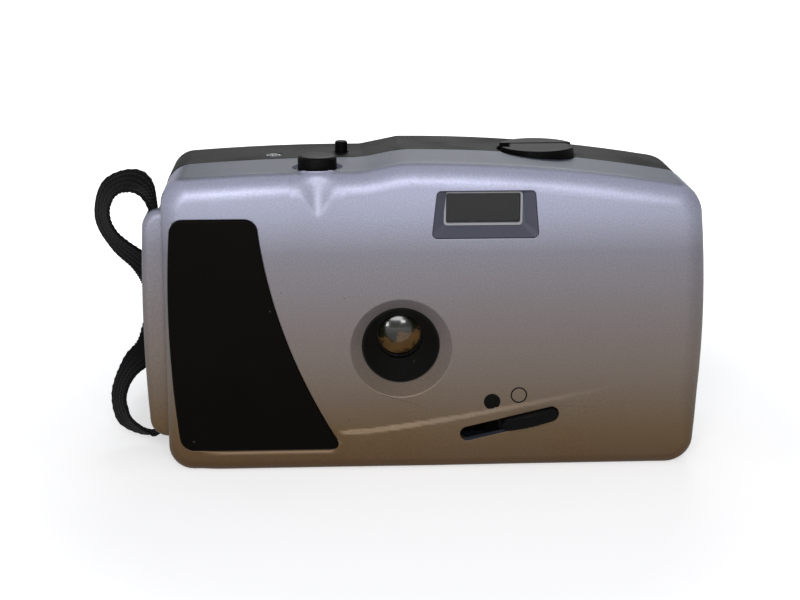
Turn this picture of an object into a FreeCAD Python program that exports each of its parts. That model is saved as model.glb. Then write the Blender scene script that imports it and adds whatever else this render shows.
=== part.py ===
import FreeCAD, Part
import math
import os
import re

import Sketcher
from FreeCAD import Placement, Rotation, Vector

# Panoramic 35 mm camera, in millimetres. X runs to the viewer's right, Y from the lens side to the back,
# Z up. The origin lies on the base, a little to the right of the lens axis.

doc = FreeCAD.newDocument("panoramic_camera")
sheet = doc.addObject("Spreadsheet::Sheet", "sizes")

SIZES = {
    # Case
    "left_reach": 63.0,  # strap flange, left of the origin
    "right_reach": 60.5,  # right side at its fullest
    "body_height": 68.5,  # top of the step beside the viewfinder
    "front_reach": 20.0,  # front face ahead of the origin
    "back_reach": 18.0,  # door skin behind the origin
    "seam_ahead": 1.0,  # silver shell ends here, ahead of the origin
    "door_seat": 12.4,  # rear rim of the main body
    "wall": 1.8,
    "shoulder_drop": 1.75,  # left shoulder below the step
    "left_drop": 3.4,
    "right_drop": 5.9,
    "left_crown": 0.5,
    "right_crown": 1.5,
    "side_bulge": 2.1,
    "step_x": -6.0,
    "ramp_length": 8.6,
    "corner_low": 5.5,
    "corner_left": 5.5,
    "corner_right": 7.5,
    "ramp_round": 6.0,
    "front_round": 3.6,
    "back_round": 2.5,
    "cover_split": 54.0,  # top cover stands on the main body here
    "door_bottom": 3.5,
    "part_gap": 0.3,
    # Strap flange
    "flange_width": 5.2,
    "flange_set_back": 6.7,
    "flange_bottom": 5.6,
    "flange_top": 57.8,
    "flange_round": 3.8,
    "flange_bulge": 0.9,
    "strap_width": 8.0,
    "strap_thick": 1.2,
    "strap_play": 0.7,
    "strap_steps": 4,
    # Grip panel
    "grip_recess": 0.7,
    "grip_proud": 0.4,
    "grip_gap": 0.1,
    "grip_left": -56.6,
    "grip_top": 57.1,
    "grip_bottom": 5.1,
    "grip_top_right": -37.4,
    "grip_bottom_right": -19.4,
    "grip_waist_x": -31.6,
    "grip_waist_z": 30.6,
    "grip_corner": 2.6,
    # Raised lower panel beside the slider
    "panel_proud": 0.55,
    "panel_left": -19.5,
    "panel_right": 44.0,
    "panel_left_z": 8.9,
    "panel_middle_z": 11.4,
    "panel_right_z": 19.4,
    # Lens
    "lens_x": -6.4,
    "lens_z": 28.0,
    "lens_bevel_radius": 11.15,
    "lens_hole_radius": 8.5,
    "lens_bevel_depth": 2.5,
    "funnel_back": 9.3,  # from the front face to the funnel's rear end
    "funnel_throat": 4.9,
    "funnel_steps": 6,
    "barrel_radius": 6.4,
    "barrel_bore": 4.9,
    "element_thick": 1.8,
    "glass_curve": 8.0,
    "aperture_radius": 1.6,
    "mount_plane": 6.8,  # shutter plate's front, ahead of the origin
    # Film path
    "film_plane": 11.6,
    "gate_width": 36.0,
    "gate_height": 24.0,
    "mask_height": 13.0,
    "film_height": 35.0,
    "cassette_offset": 31.3,  # rewind axis from the lens axis
    "cassette_y": 2.0,
    "cassette_radius": 12.5,
    "cassette_length": 44.2,
    "cassette_play": 0.6,
    "hub_radius": 4.6,
    "takeup_x": -41.5,
    "takeup_y": 5.2,
    "takeup_room": 11.0,
    "spool_radius": 5.5,
    "chamber_wall": 1.5,
    "sprocket_radius": 6.05,
    "sprocket_thick": 2.2,
    "perforation_up": 14.1,  # perforation row above the lens axis
    "tooth_height": 1.05,
    # Viewfinder
    "finder_top": 62.9,
    "finder_bottom": 52.5,
    "finder_top_left": 1.2,
    "finder_top_right": 22.2,
    "finder_low_left": 0.1,
    "finder_low_right": 23.2,
    "finder_depth": 3.0,
    "window_left": 3.2,
    "window_right": 19.3,
    "window_bottom": 55.4,
    "window_top": 62.0,
    "window_thick": 1.0,
    "eye_width": 6.6,
    "eye_height": 5.6,
    # Shutter button
    "button_x": -24.2,
    "button_y": -11.0,
    "button_radius": 4.2,
    "button_top": 69.3,
    "button_travel": 2.2,
    "button_ring": 5.4,
    "dimple_tip_z": 57.6,
    "dimple_radius": 4.5,
    # Slider
    "slot_x": 17.5,
    "slot_z": 10.4,
    "slot_length": 22.3,
    "slot_width": 3.2,
    "slot_angle": 13.0,
    "slider_travel": 9.0,
    "slider_ribs": 5,
    "rib_pitch": 0.9,
    "arm_plane": -13.6,
    # Top controls
    "peg_radius": 1.4,
    "peg_top": 69.25,
    "peg_travel": 1.2,
    "dial_window_x": -34.0,
    "dial_window_y": 3.8,
    "dial_window_radius": 1.9,
    "dial_x": -30.5,
    "dial_y": 8.2,
    "dial_radius": 7.3,
    "knob_radius": 8.5,
    "knob_top": 68.7,
    "knob_thick": 2.4,
    "crank_width": 4.4,
    "crank_thick": 1.3,
    "shaft_radius": 2.4,
    "shaft_play": 0.3,
    "wheel_radius": 13.6,
    "wheel_thick": 3.6,
    "wheel_bottom": 56.5,
    # Door
    "hinge_radius": 2.5,
    "hinge_pin_radius": 0.8,
    "door_skin": 2.2,
    "latch_x": 56.5,  # inner face of the latch plate
    "latch_thick": 1.2,
    "latch_low": 20.0,
    "latch_travel": 4.0,
    "latch_coil_x": 55.3,
    "latch_coil_turns": 10,
    "screw_radius": 1.0,
}

for row, (alias, value) in enumerate(SIZES.items(), 1):
    sheet.set("A%d" % row, alias)
    sheet.set("B%d" % row, str(value))
    sheet.setAlias("B%d" % row, alias)
doc.recompute()

# Places that follow from the sizes
PLACES = {
    "right_edge": "right_reach - side_bulge",
    "flange_left": "-left_reach",
    "shell_left": "-left_reach + flange_width",
    "front": "-front_reach",
    "front_inner": "-front_reach + wall",
    "seam": "-seam_ahead",
    "shoulder": "body_height - shoulder_drop",
    "left_end": "body_height - left_drop",
    "right_end": "body_height - right_drop",
    "deck_top": "cover_split - 1.3",
    "deck_under": "cover_split - 3.1",
    "chamber_bottom": "lens_z - cassette_length / 2 - cassette_play / 2",
    "chamber_top": "lens_z + cassette_length / 2 + cassette_play / 2",
    "chamber_radius": "cassette_radius + cassette_play",
    "cassette_x": "lens_x + cassette_offset",
    "sprocket_x": "lens_x - cassette_radius",
    "sprocket_y": "film_plane - sprocket_radius",
    "sprocket_z": "lens_z + perforation_up",
    "door_front": "door_seat + part_gap",
    "door_inner": "back_reach - door_skin",
    "door_top": "cover_split - part_gap",
    "hinge_x": "shell_left + hinge_radius",
    "hinge_y": "back_reach - hinge_radius",
    "finder_x": "(window_left + window_right) / 2",
    "finder_z": "(window_bottom + window_top) / 2",
    "bezel_back": "front + finder_depth + 0.1",
    "housing_front": "bezel_back + window_thick",
    "knob_bottom": "knob_top - knob_thick",
    "channel_left": "flange_left + 2.0",
    "channel_right": "flange_left + 2.0 + strap_thick + 2 * strap_play * 0.75",
    "channel_front": "seam - strap_width - 2 * strap_play",
    "mount_front": "-mount_plane",
    "funnel_rear": "front + funnel_back",
    "cover_plane": "front + funnel_back + 0.25",
    "barrel_front": "front + funnel_back + 1.3",
}

places = doc.addObject("App::VarSet", "places")


def full(formula):
    """Give each named size or place in a formula the object that holds it."""
    def owner(found):
        word = found.group(0)
        if word in SIZES:
            return "sizes." + word
        if word in PLACES:
            return "places." + word
        return word
    return re.sub(r"[a-z][a-z0-9_]*", owner, formula)


for name, formula in PLACES.items():
    places.addProperty("App::PropertyFloat", name)
for name, formula in PLACES.items():
    places.setExpression(name, full(formula))
doc.recompute()


def bind(made, prop, formula):
    made.setExpression(prop, full(formula))


def put(made, at):
    for axis, formula in zip("xyz", at):
        bind(made, "Placement.Base." + axis, formula)


TURN = {
    "z": Rotation(),
    "y": Rotation(Vector(1, 0, 0), -90),
    "x": Rotation(Vector(0, 1, 0), 90),
}


def box(name, low, high):
    made = doc.addObject("Part::Box", name)
    for side, start, end in zip(("Length", "Width", "Height"), low, high):
        bind(made, side, "(%s) - (%s)" % (end, start))
    put(made, low)
    return made


def rod(name, radius, start, length, axis="z"):
    made = doc.addObject("Part::Cylinder", name)
    made.Placement = Placement(Vector(), TURN[axis])
    bind(made, "Radius", radius)
    bind(made, "Height", length)
    put(made, start)
    return made


def cone(name, radius, far_radius, start, length, axis="z"):
    made = doc.addObject("Part::Cone", name)
    made.Placement = Placement(Vector(), TURN[axis])
    bind(made, "Radius1", radius)
    bind(made, "Radius2", far_radius)
    bind(made, "Height", length)
    put(made, start)
    return made


def ball(name, radius, centre):
    made = doc.addObject("Part::Sphere", name)
    bind(made, "Radius", radius)
    put(made, centre)
    return made


def fuse(name, *pieces):
    made = doc.addObject("Part::MultiFuse", name)
    made.Shapes = list(pieces)
    made.Refine = True
    return made


def cut(name, base, *tools):
    made = doc.addObject("Part::Cut", name)
    made.Base = base
    made.Tool = tools[0] if len(tools) == 1 else fuse(name + "_tools", *tools)
    made.Refine = True
    return made


def common(name, first, second):
    made = doc.addObject("Part::Common", name)
    made.Base = first
    made.Tool = second
    return made


def form(name, shape):
    """Hold a shape that is drawn in code from the sheet's sizes."""
    made = doc.addObject("Part::Feature", name)
    made.Shape = shape
    return made


def turned(name, profile, at, axis="z"):
    """Turn a closed profile of (radius, height) formulas about its own axis."""
    body = doc.addObject("PartDesign::Body", name)
    sketch = body.newObject("Sketcher::SketchObject", name + "_profile")
    plane = [found for found in body.Origin.OriginFeatures if found.Role == "XZ_Plane"][0]
    sketch.AttachmentSupport = (plane, [""])
    sketch.MapMode = "FlatFace"
    count = len(profile)
    for corner in range(count):
        turn = 2 * math.pi / count
        start = Vector(3 + math.cos(corner * turn), 3 + math.sin(corner * turn), 0)
        end = Vector(3 + math.cos((corner + 1) * turn), 3 + math.sin((corner + 1) * turn), 0)
        sketch.addGeometry(Part.LineSegment(start, end), False)
    for corner in range(count):
        sketch.addConstraint(Sketcher.Constraint("Coincident", corner, 2, (corner + 1) % count, 1))
    for corner, (radius, height) in enumerate(profile):
        vertex = sketch.getPoint(corner, 1)
        for kind, formula, now in (("DistanceX", radius, vertex.x), ("DistanceY", height, vertex.y)):
            index = sketch.addConstraint(Sketcher.Constraint(kind, -1, 1, corner, 1, now))
            sketch.setExpression("Constraints[%d]" % index, full(formula))
    turning = body.newObject("PartDesign::Revolution", name + "_turning")
    turning.Profile = sketch
    turning.ReferenceAxis = (sketch, ["V_Axis"])
    turning.Angle = 360
    body.Placement = Placement(Vector(), TURN[axis])
    put(body, at)
    return body


nodes = []


def node(made, name):
    made.Label = name
    nodes.append(made)
    return made


# Outlines drawn in the plane of the front face

CLOSE = 1e-4


def along_y(shape, x, z):
    """Edges that run front to back through one corner of an outline."""
    found = []
    for edge in shape.Edges:
        ends = edge.Vertexes
        if len(ends) == 2 and all(abs(end.X - x) < CLOSE and abs(end.Z - z) < CLOSE for end in ends):
            found.append(edge)
    return found


def on_plane(shape, y):
    """Edges that lie in one plane across the depth."""
    return [edge for edge in shape.Edges if all(abs(end.Y - y) < CLOSE for end in edge.Vertexes)]


def prism(edges, front, back):
    face = Part.Face(Part.Wire(edges))
    return face.extrude(Vector(0, back - front, 0))


def polygon(points, y):
    corners = [Vector(x, y, z) for x, z in points]
    return Part.makePolygon(corners + corners[:1])


def case_block(inset, front, back, front_round=0.0, back_round=0.0):
    """Block with the case's outline, set in from its skin, between two planes."""
    left = places.shell_left + inset
    right = places.right_edge - inset
    low = inset
    left_top = places.left_end - inset
    right_top = places.right_end - inset
    step = (sheet.step_x, sheet.body_height - inset)
    foot = (sheet.step_x - sheet.ramp_length, places.shoulder - inset)
    right_crown = ((right + step[0]) / 2, (right_top + step[1]) / 2 + sheet.right_crown)
    left_crown = ((left + foot[0]) / 2, (left_top + foot[1]) / 2 + sheet.left_crown)
    bulge = (right + sheet.side_bulge, (low + right_top) / 2)

    def at(x, z):
        return Vector(x, front, z)

    edges = [
        Part.LineSegment(at(left, low), at(right, low)).toShape(),
        Part.Arc(at(right, low), at(*bulge), at(right, right_top)).toShape(),
        Part.Arc(at(right, right_top), at(*right_crown), at(*step)).toShape(),
        Part.LineSegment(at(*step), at(*foot)).toShape(),
        Part.Arc(at(*foot), at(*left_crown), at(left, left_top)).toShape(),
        Part.LineSegment(at(left, left_top), at(left, low)).toShape(),
    ]
    block = prism(edges, front, back)
    corners = [
        (left, low, sheet.corner_low - inset),
        (right, low, sheet.corner_low - inset),
        (right, right_top, sheet.corner_right - inset),
        (left, left_top, sheet.corner_left - inset),
        (step[0], step[1], sheet.ramp_round),
        (foot[0], foot[1], sheet.ramp_round),
    ]
    for x, z, radius in corners:
        block = block.makeFillet(radius, along_y(block, x, z))
    for plane, radius in ((front, front_round), (back, back_round)):
        if radius:
            block = block.makeFillet(radius, on_plane(block, plane))
    return block


def side_rib(low, high, front, back):
    """Bulged rib down the left side."""
    root = places.shell_left + sheet.wall / 2
    edge = places.flange_left + sheet.flange_bulge

    def at(x, z):
        return Vector(x, front, z)

    edges = [
        Part.LineSegment(at(root, high), at(root, low)).toShape(),
        Part.LineSegment(at(root, low), at(edge, low)).toShape(),
        Part.Arc(at(edge, low), at(places.flange_left, (low + high) / 2), at(edge, high)).toShape(),
        Part.LineSegment(at(edge, high), at(root, high)).toShape(),
    ]
    rib = prism(edges, front, back)
    for z in (low, high):
        rib = rib.makeFillet(sheet.flange_round, along_y(rib, edge, z))
    return rib


def strap_flange():
    """Rib on the shell that hides the strap's channel, rounded in front."""
    front = places.front + sheet.flange_set_back
    flange = side_rib(sheet.flange_bottom, sheet.flange_top, front, places.seam)
    root = places.shell_left + sheet.wall / 2
    outer = [rim for rim in on_plane(flange, front) if rim.BoundBox.XMin < root - CLOSE]
    return flange.makeFillet(sheet.wall, outer)


def grip_outline(y, grow):
    """Edges of the grip panel: a wide top, and a right edge that sweeps out to the low corner."""
    left = sheet.grip_left - grow
    high = sheet.grip_top + grow
    low = sheet.grip_bottom - grow
    top_right = sheet.grip_top_right + grow
    low_right = sheet.grip_bottom_right + grow
    waist = (sheet.grip_waist_x + grow, sheet.grip_waist_z)
    top_left = left + 1.0
    low_left = left + 2.0

    def at(x, z):
        return Vector(x, y, z)

    return [
        Part.LineSegment(at(low_left, low), at(low_right, low)).toShape(),
        Part.Arc(at(low_right, low), at(*waist), at(top_right, high)).toShape(),
        Part.LineSegment(at(top_right, high), at(top_left, high)).toShape(),
        Part.Arc(at(top_left, high), at(left, (low + high) / 2), at(low_left, low)).toShape(),
    ], [(low_left, low), (low_right, low), (top_right, high), (top_left, high)]


def grip_block(front, back, grow):
    edges, corners = grip_outline(front, grow)
    block = prism(edges, front, back)
    for x, z in corners:
        block = block.makeFillet(sheet.grip_corner + grow, along_y(block, x, z))
    return block


def finder_corners(grow):
    """Corners of the viewfinder's recess, wider at its foot."""
    return [
        (sheet.finder_low_left - grow, sheet.finder_bottom - grow),
        (sheet.finder_low_right + grow, sheet.finder_bottom - grow),
        (sheet.finder_top_right + grow, sheet.finder_top + grow),
        (sheet.finder_top_left - grow, sheet.finder_top + grow),
    ]


def window_corners(grow):
    return [
        (sheet.window_left - grow, sheet.window_bottom - grow),
        (sheet.window_right + grow, sheet.window_bottom - grow),
        (sheet.window_right + grow, sheet.window_top + grow),
        (sheet.window_left - grow, sheet.window_top + grow),
    ]


def plug(points, front, back):
    return Part.Face(polygon(points, front)).extrude(Vector(0, back - front, 0))


def funnel(near_points, near, far_points, far):
    return Part.makeLoft([polygon(near_points, near), polygon(far_points, far)], True, True)


def on_slot(shape):
    """Lay a shape drawn along X on the slider's slanting slot."""
    shape = shape.copy()
    shape.rotate(Vector(), Vector(0, -1, 0), sheet.slot_angle)
    shape.translate(Vector(sheet.slot_x, 0, sheet.slot_z))
    return shape


def bar(start, end, width, front, back):
    """Round-ended bar along X between two stations."""
    straight = Part.makeBox(end - start - width, back - front, width,
                            Vector(start + width / 2, front, -width / 2))
    shape = straight
    for x in (start + width / 2, end - width / 2):
        shape = shape.fuse(Part.makeCylinder(width / 2, back - front, Vector(x, front, 0), Vector(0, 1, 0)))
    return shape.removeSplitter()


def link(start, end, width, front, back):
    """Round-ended flat link between two points of the front view."""
    reach = Vector(end[0] - start[0], 0, end[1] - start[1])
    angle = math.degrees(math.atan2(reach.z, reach.x))
    shape = bar(-width / 2, reach.Length + width / 2, width, front, back)
    shape.rotate(Vector(), Vector(0, -1, 0), angle)
    shape.translate(Vector(start[0], 0, start[1]))
    return shape


def coil(radius, wire, turns, height, centre, axis, arcs=4):
    """Round-wire spring on one axis, whose turns are made of arcs."""
    steps = arcs * turns
    turn = Placement(centre, TURN[axis])

    def at(step):
        angle = step * 2 * math.pi / arcs
        return turn.multVec(Vector(radius * math.cos(angle), radius * math.sin(angle), height * step / steps))

    edges = [Part.Arc(at(step), at(step + 0.5), at(step + 1)).toShape() for step in range(steps)]
    start = edges[0]
    profile = Part.Wire(Part.makeCircle(wire, start.Vertexes[0].Point, start.tangentAt(start.FirstParameter)))
    return Part.Wire(edges).makePipeShell([profile], True, False)


# Front shell

shell_skin = form("shell_skin", case_block(0, places.front, places.seam, sheet.front_round))
shell_room = form("shell_room", case_block(sheet.wall, places.front_inner, places.seam,
                                           sheet.front_round - sheet.wall))
flange = form("flange", strap_flange())


def raised_panel():
    """Low step across the foot of the front face, which fades out to the right."""
    left = sheet.grip_left + sheet.corner_low
    low_turn = (sheet.panel_left - 2.0, sheet.grip_bottom - sheet.part_gap)
    middle_x = sheet.lens_x + sheet.lens_hole_radius
    proud = places.front - sheet.panel_proud
    deep = places.front + sheet.wall

    def at(x, z):
        return Vector(x, proud, z)

    edges = [
        Part.LineSegment(at(left, 0), at(sheet.panel_right, 0)).toShape(),
        Part.LineSegment(at(sheet.panel_right, 0), at(sheet.panel_right, sheet.panel_right_z)).toShape(),
        Part.Arc(at(sheet.panel_right, sheet.panel_right_z), at(middle_x, sheet.panel_middle_z),
                 at(sheet.panel_left, sheet.panel_left_z)).toShape(),
        Part.LineSegment(at(sheet.panel_left, sheet.panel_left_z), at(*low_turn)).toShape(),
        Part.LineSegment(at(*low_turn), at(left, low_turn[1])).toShape(),
        Part.LineSegment(at(left, low_turn[1]), at(left, 0)).toShape(),
    ]
    slab = prism(edges, proud, deep)
    wedge = Part.makePolygon([
        Vector(left, places.front, 0),
        Vector(left + sheet.corner_low, proud, 0),
        Vector(middle_x, proud, 0),
        Vector(sheet.panel_right, places.front, 0),
        Vector(sheet.panel_right, deep, 0),
        Vector(left, deep, 0),
        Vector(left, places.front, 0),
    ])
    slope = Part.Face(wedge).extrude(Vector(0, 0, sheet.panel_right_z))
    swollen = case_block(-sheet.panel_proud, proud, places.seam, sheet.front_round + sheet.panel_proud)
    return slab.common(slope).common(swollen)


panel = form("panel", raised_panel())
shell_outside = fuse("shell_outside", shell_skin, flange, panel)
shell_hollow = cut("shell_hollow", shell_outside, shell_room)
lens_collar = rod("lens_collar", "lens_bevel_radius + 1.3", ("lens_x", "front_inner - 0.2", "lens_z"),
                  "lens_bevel_depth - wall + 0.8", "y")
dimple_back = cone("dimple_back", "0.2", "dimple_radius + wall",
                   ("button_x", "front - 0.3", "dimple_tip_z - 3"), "shoulder - dimple_tip_z + 2.5")
knob_back = rod("knob_back", "knob_radius + 2", ("cassette_x", "cassette_y", "knob_bottom - 1.9"), "2.2")
shell_lining = common("shell_lining", fuse("lining_parts", dimple_back, knob_back), shell_skin)
screw_pads = [
    rod("shell_pad_%d" % side, "3.2", (x, y, "0.5"), "2.1")
    for side, (x, y) in enumerate((("takeup_x - 2.5", "-8"), ("cassette_x + 11.1", "-9")))
]
shell_solid = fuse("shell_solid", shell_hollow, lens_collar, shell_lining, *screw_pads)
lens_bevel = cone("lens_bevel", "lens_bevel_radius", "lens_hole_radius", ("lens_x", "front", "lens_z"),
                  "lens_bevel_depth", "y")
lens_hole = rod("lens_hole", "lens_hole_radius", ("lens_x", "front - 1", "lens_z"), "5", "y")
button_ring_cut = rod("button_ring_cut", "button_ring", ("button_x", "button_y", "shoulder - 0.9"), "3")
button_hole = rod("button_hole", "button_radius + 0.25", ("button_x", "button_y", "shoulder - 5"), "8")
dimple = cone("dimple", "0", "dimple_radius", ("button_x", "front - 0.3", "dimple_tip_z"),
              "shoulder - dimple_tip_z + 0.5")
knob_well = rod("knob_well", "knob_radius + 0.4", ("cassette_x", "cassette_y", "knob_bottom - 0.2"), "8")
channel = box("channel", ("channel_left", "channel_front", "flange_bottom - 4"),
              ("channel_right", "seam + 1", "flange_top + 4"))
finder_hole = form("finder_hole", plug(finder_corners(0), places.front - 1, places.front_inner + 1))
grip_cut = form("grip_cut", grip_block(places.front - 2, places.front + sheet.grip_recess, sheet.grip_gap))
slot_cut = form("slot_cut", on_slot(bar(-sheet.slot_length / 2, sheet.slot_length / 2, sheet.slot_width,
                                        places.front - 2, places.front_inner + 1)))
shell_screw_cuts = []
for side, (x, y) in enumerate((("takeup_x - 2.5", "-8"), ("cassette_x + 11.1", "-9"))):
    shell_screw_cuts.append(rod("shell_head_cut_%d" % side, "2.1", (x, y, "-1"), "2.2"))
    shell_screw_cuts.append(rod("shell_shank_cut_%d" % side, "screw_radius + 0.15", (x, y, "0"), "6"))
node(cut("shell", shell_solid, lens_bevel, lens_hole, button_ring_cut, button_hole, dimple, knob_well,
         channel, finder_hole, grip_cut, slot_cut, *shell_screw_cuts), "front_shell")

grip_panel = form("grip", grip_block(places.front - sheet.grip_proud, places.front + sheet.grip_recess, 0))
grip_rim = on_plane(grip_panel.Shape, places.front - sheet.grip_proud)
grip_panel.Shape = grip_panel.Shape.makeChamfer(sheet.grip_proud * 0.8, grip_rim)
node(grip_panel, "grip_panel")

# Viewfinder

bezel_ring = plug(finder_corners(-sheet.grip_gap), places.front + sheet.grip_gap, places.bezel_back)
bezel_slope = funnel(finder_corners(-0.7), places.front, window_corners(0), places.bezel_back + 0.1)
node(form("bezel", bezel_ring.cut(bezel_slope)), "viewfinder_bezel")

node(box("window", ("window_left - 0.6", "bezel_back", "window_bottom - 0.6"),
         ("window_right + 0.6", "housing_front", "window_top + 0.6")), "viewfinder_window")


def eye_corners(grow):
    half_wide = sheet.eye_width / 2 + grow
    half_high = sheet.eye_height / 2 + grow
    middle = (places.finder_x, places.finder_z)
    return [
        (middle[0] - half_wide, middle[1] - half_high),
        (middle[0] + half_wide, middle[1] - half_high),
        (middle[0] + half_wide, middle[1] + half_high),
        (middle[0] - half_wide, middle[1] + half_high),
    ]


housing_back = sheet.back_reach - 2.5
housing_outside = form("housing_outside", funnel(window_corners(1.0), places.housing_front,
                                                 eye_corners(0.9), housing_back))
housing_room = form("housing_room", funnel(window_corners(0.1), places.housing_front - 0.1,
                                           eye_corners(0), housing_back + 0.1))
housing_feet = [
    box("housing_foot_%d" % number, ("finder_x - 3", y, "deck_top"), ("finder_x + 3", y + " + 2", "window_bottom - 0.4"))
    for number, y in enumerate(("-7", "6"))
]
node(cut("housing", fuse("housing_solid", housing_outside, *housing_feet), housing_room), "viewfinder_housing")

eye_flange = box("eye_flange", ("finder_x - eye_width / 2 - 1", "back_reach - 2.5", "finder_z - eye_height / 2 - 1"),
                 ("finder_x + eye_width / 2 + 1", "back_reach - wall", "finder_z + eye_height / 2 + 1"))
eye_nose = box("eye_nose", ("finder_x - eye_width / 2", "back_reach - 2", "finder_z - eye_height / 2"),
               ("finder_x + eye_width / 2", "back_reach - 0.4", "finder_z + eye_height / 2"))
node(fuse("eyepiece", eye_flange, eye_nose), "viewfinder_eyepiece")

# Lens, built up along its axis from the front

LENS = ("lens_x", "0", "lens_z")


def funnel_profile():
    """Stepped light baffle that narrows to its throat."""
    start = "front + lens_bevel_depth + 0.1"
    run = "(funnel_rear - (%s))" % start
    drop = "(lens_hole_radius - 0.05 - funnel_throat)"
    inner = []
    for step in range(sheet.funnel_steps):
        radius = "funnel_throat + %s * %d / funnel_steps" % (drop, sheet.funnel_steps - step)
        inner.append((radius + " - 0.5", "%s + %s * %d / funnel_steps" % (start, run, step)))
        inner.append((radius + " - 0.5", "%s + %s * %d / funnel_steps" % (start, run, step + 1)))
    outer = [
        ("funnel_throat + 0.4", "funnel_rear"),
        ("lens_hole_radius - 0.05", "front + 4.1"),
        ("lens_bevel_radius - 0.35", "front + 4.1"),
        ("lens_bevel_radius - 0.35", "front + 3.2"),
        ("lens_hole_radius - 0.05", "front + 3.2"),
        ("lens_hole_radius - 0.05", start),
    ]
    return inner + outer


node(turned("funnel_cone", funnel_profile(), LENS, "y"), "lens_funnel")

node(turned("retainer", [
    ("barrel_bore - 0.6", "barrel_front - 0.2"),
    ("barrel_radius - 0.1", "barrel_front - 0.2"),
    ("barrel_radius - 0.1", "barrel_front"),
    ("barrel_bore - 0.6", "barrel_front"),
], LENS, "y"), "lens_retainer")

front_glass = common(
    "front_glass",
    rod("front_glass_edge", "barrel_bore - 0.1", ("lens_x", "barrel_front + 0.1", "lens_z"), "element_thick", "y"),
    ball("front_glass_curve", "glass_curve", ("lens_x", "barrel_front + 0.1 + glass_curve", "lens_z")),
)
node(front_glass, "lens_front_element")

node(turned("barrel", [
    ("barrel_bore", "barrel_front"),
    ("barrel_radius", "barrel_front"),
    ("barrel_radius", "mount_front - 0.8"),
    ("barrel_radius + 1", "mount_front - 0.8"),
    ("barrel_radius + 1", "mount_front - 0.1"),
    ("barrel_radius", "mount_front - 0.1"),
    ("barrel_radius", "mount_front + 1.1"),
    ("barrel_bore - 0.7", "mount_front + 1.1"),
    ("barrel_bore - 0.7", "mount_front + 0.8"),
    ("barrel_bore", "mount_front + 0.8"),
], LENS, "y"), "lens_barrel")

node(cut("stop_disc",
         rod("stop_blank", "barrel_bore - 0.1", ("lens_x", "mount_front - 0.5", "lens_z"), "0.3", "y"),
         rod("stop_hole", "aperture_radius", ("lens_x", "mount_front - 1", "lens_z"), "2", "y")), "aperture_disc")

node(rod("rear_glass", "barrel_bore - 0.1", ("lens_x", "mount_front - 0.1", "lens_z"), "0.8", "y"),
     "lens_rear_element")

# Shutter

BLADE_PIVOT = ("lens_x + 8", "lens_z + 8")
LEVER_PIVOT = ("button_x + 6.7", "lens_z + 16.5")
COVER_PIVOT = ("lens_x + 15.4", "lens_z - 9")
MOUNT_POSTS = [("lens_x - 13", "lens_z - 12.5"), ("lens_x + 11.4", "lens_z - 13.5"),
               ("lens_x - 13", "lens_z + 12"), ("lens_x + 11.4", "lens_z + 14")]


def value(formula):
    """Size of a formula now, for a shape that is drawn in code."""
    holder = doc.addObject("App::VarSet", "holder")
    holder.addProperty("App::PropertyFloat", "x")
    holder.setExpression("x", full(formula))
    holder.recompute()
    found = holder.x
    doc.removeObject(holder.Name)
    return found


blade_pivot = [value(part) for part in BLADE_PIVOT]
lever_pivot = [value(part) for part in LEVER_PIVOT]
cover_pivot = [value(part) for part in COVER_PIVOT]
lens_axis = (sheet.lens_x, sheet.lens_z)

plate_blank = box("plate_blank", ("lens_x - 15", "mount_front", "lens_z - 14.5"),
                  ("lens_x + 13.2", "mount_front + 1", "lens_z + 19.5"))
plate_stud = rod("plate_stud", "1.0", (LEVER_PIVOT[0], "mount_front - 1.6", LEVER_PIVOT[1]), "2", "y")
plate_spring_stud = rod("plate_spring_stud", "1.0", (BLADE_PIVOT[0], "mount_front - 1.2", BLADE_PIVOT[1]), "1.6", "y")
plate_hole = rod("plate_hole", "barrel_radius + 0.1", ("lens_x", "mount_front - 1", "lens_z"), "3", "y")
node(cut("plate", fuse("plate_solid", plate_blank, plate_stud, plate_spring_stud), plate_hole), "shutter_plate")


def swing_blade(pivot, tip, tip_radius, arm_width, hub, bore, front, back):
    """Flat blade: a hub with a hole, an arm, and a disc at the far end."""
    shape = link(pivot, tip, arm_width, front, back)
    disc = Part.makeCylinder(tip_radius, back - front, Vector(tip[0], front, tip[1]), Vector(0, 1, 0))
    round_hub = Part.makeCylinder(hub, back - front, Vector(pivot[0], front, pivot[1]), Vector(0, 1, 0))
    hole = Part.makeCylinder(bore, back - front + 2, Vector(pivot[0], front - 1, pivot[1]), Vector(0, 1, 0))
    return shape.fuse(disc).fuse(round_hub).cut(hole).removeSplitter()


node(form("blade", swing_blade(blade_pivot, lens_axis, 4.2, 2.4, 2.0, 1.3,
                               places.mount_front + 1.4, places.mount_front + 1.8)), "shutter_blade")

node(form("blade_spring", coil(1.5, 0.12, 2, 0.7, Vector(blade_pivot[0], places.mount_front - 0.95, blade_pivot[1]),
                               "y", 3)), "shutter_spring")


def release_lever():
    front = places.mount_front - 1.0
    back = places.mount_front - 0.2
    tab_point = (sheet.button_x, lever_pivot[1] + 2.9)
    arm = (lever_pivot[0] + 7.5, lever_pivot[1] - 8.5)
    shape = link(lever_pivot, tab_point, 2.0, front, back).fuse(link(lever_pivot, arm, 2.0, front, back))
    tab = Part.makeBox(3.0, back - sheet.button_y + 1.2, 1.0,
                       Vector(sheet.button_x - 1.5, sheet.button_y - 1.2, lever_pivot[1] + 2.9))
    hub = Part.makeCylinder(2.0, back - front, Vector(lever_pivot[0], front, lever_pivot[1]), Vector(0, 1, 0))
    hole = Part.makeCylinder(1.3, 4, Vector(lever_pivot[0], front - 1, lever_pivot[1]), Vector(0, 1, 0))
    return shape.fuse(tab).fuse(hub).cut(hole).removeSplitter()


node(form("lever", release_lever()), "shutter_lever")

# Sliding lens cover: the knob's pin swings a blade behind the funnel

PIN = (sheet.slot_x, sheet.slot_z)


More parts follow.
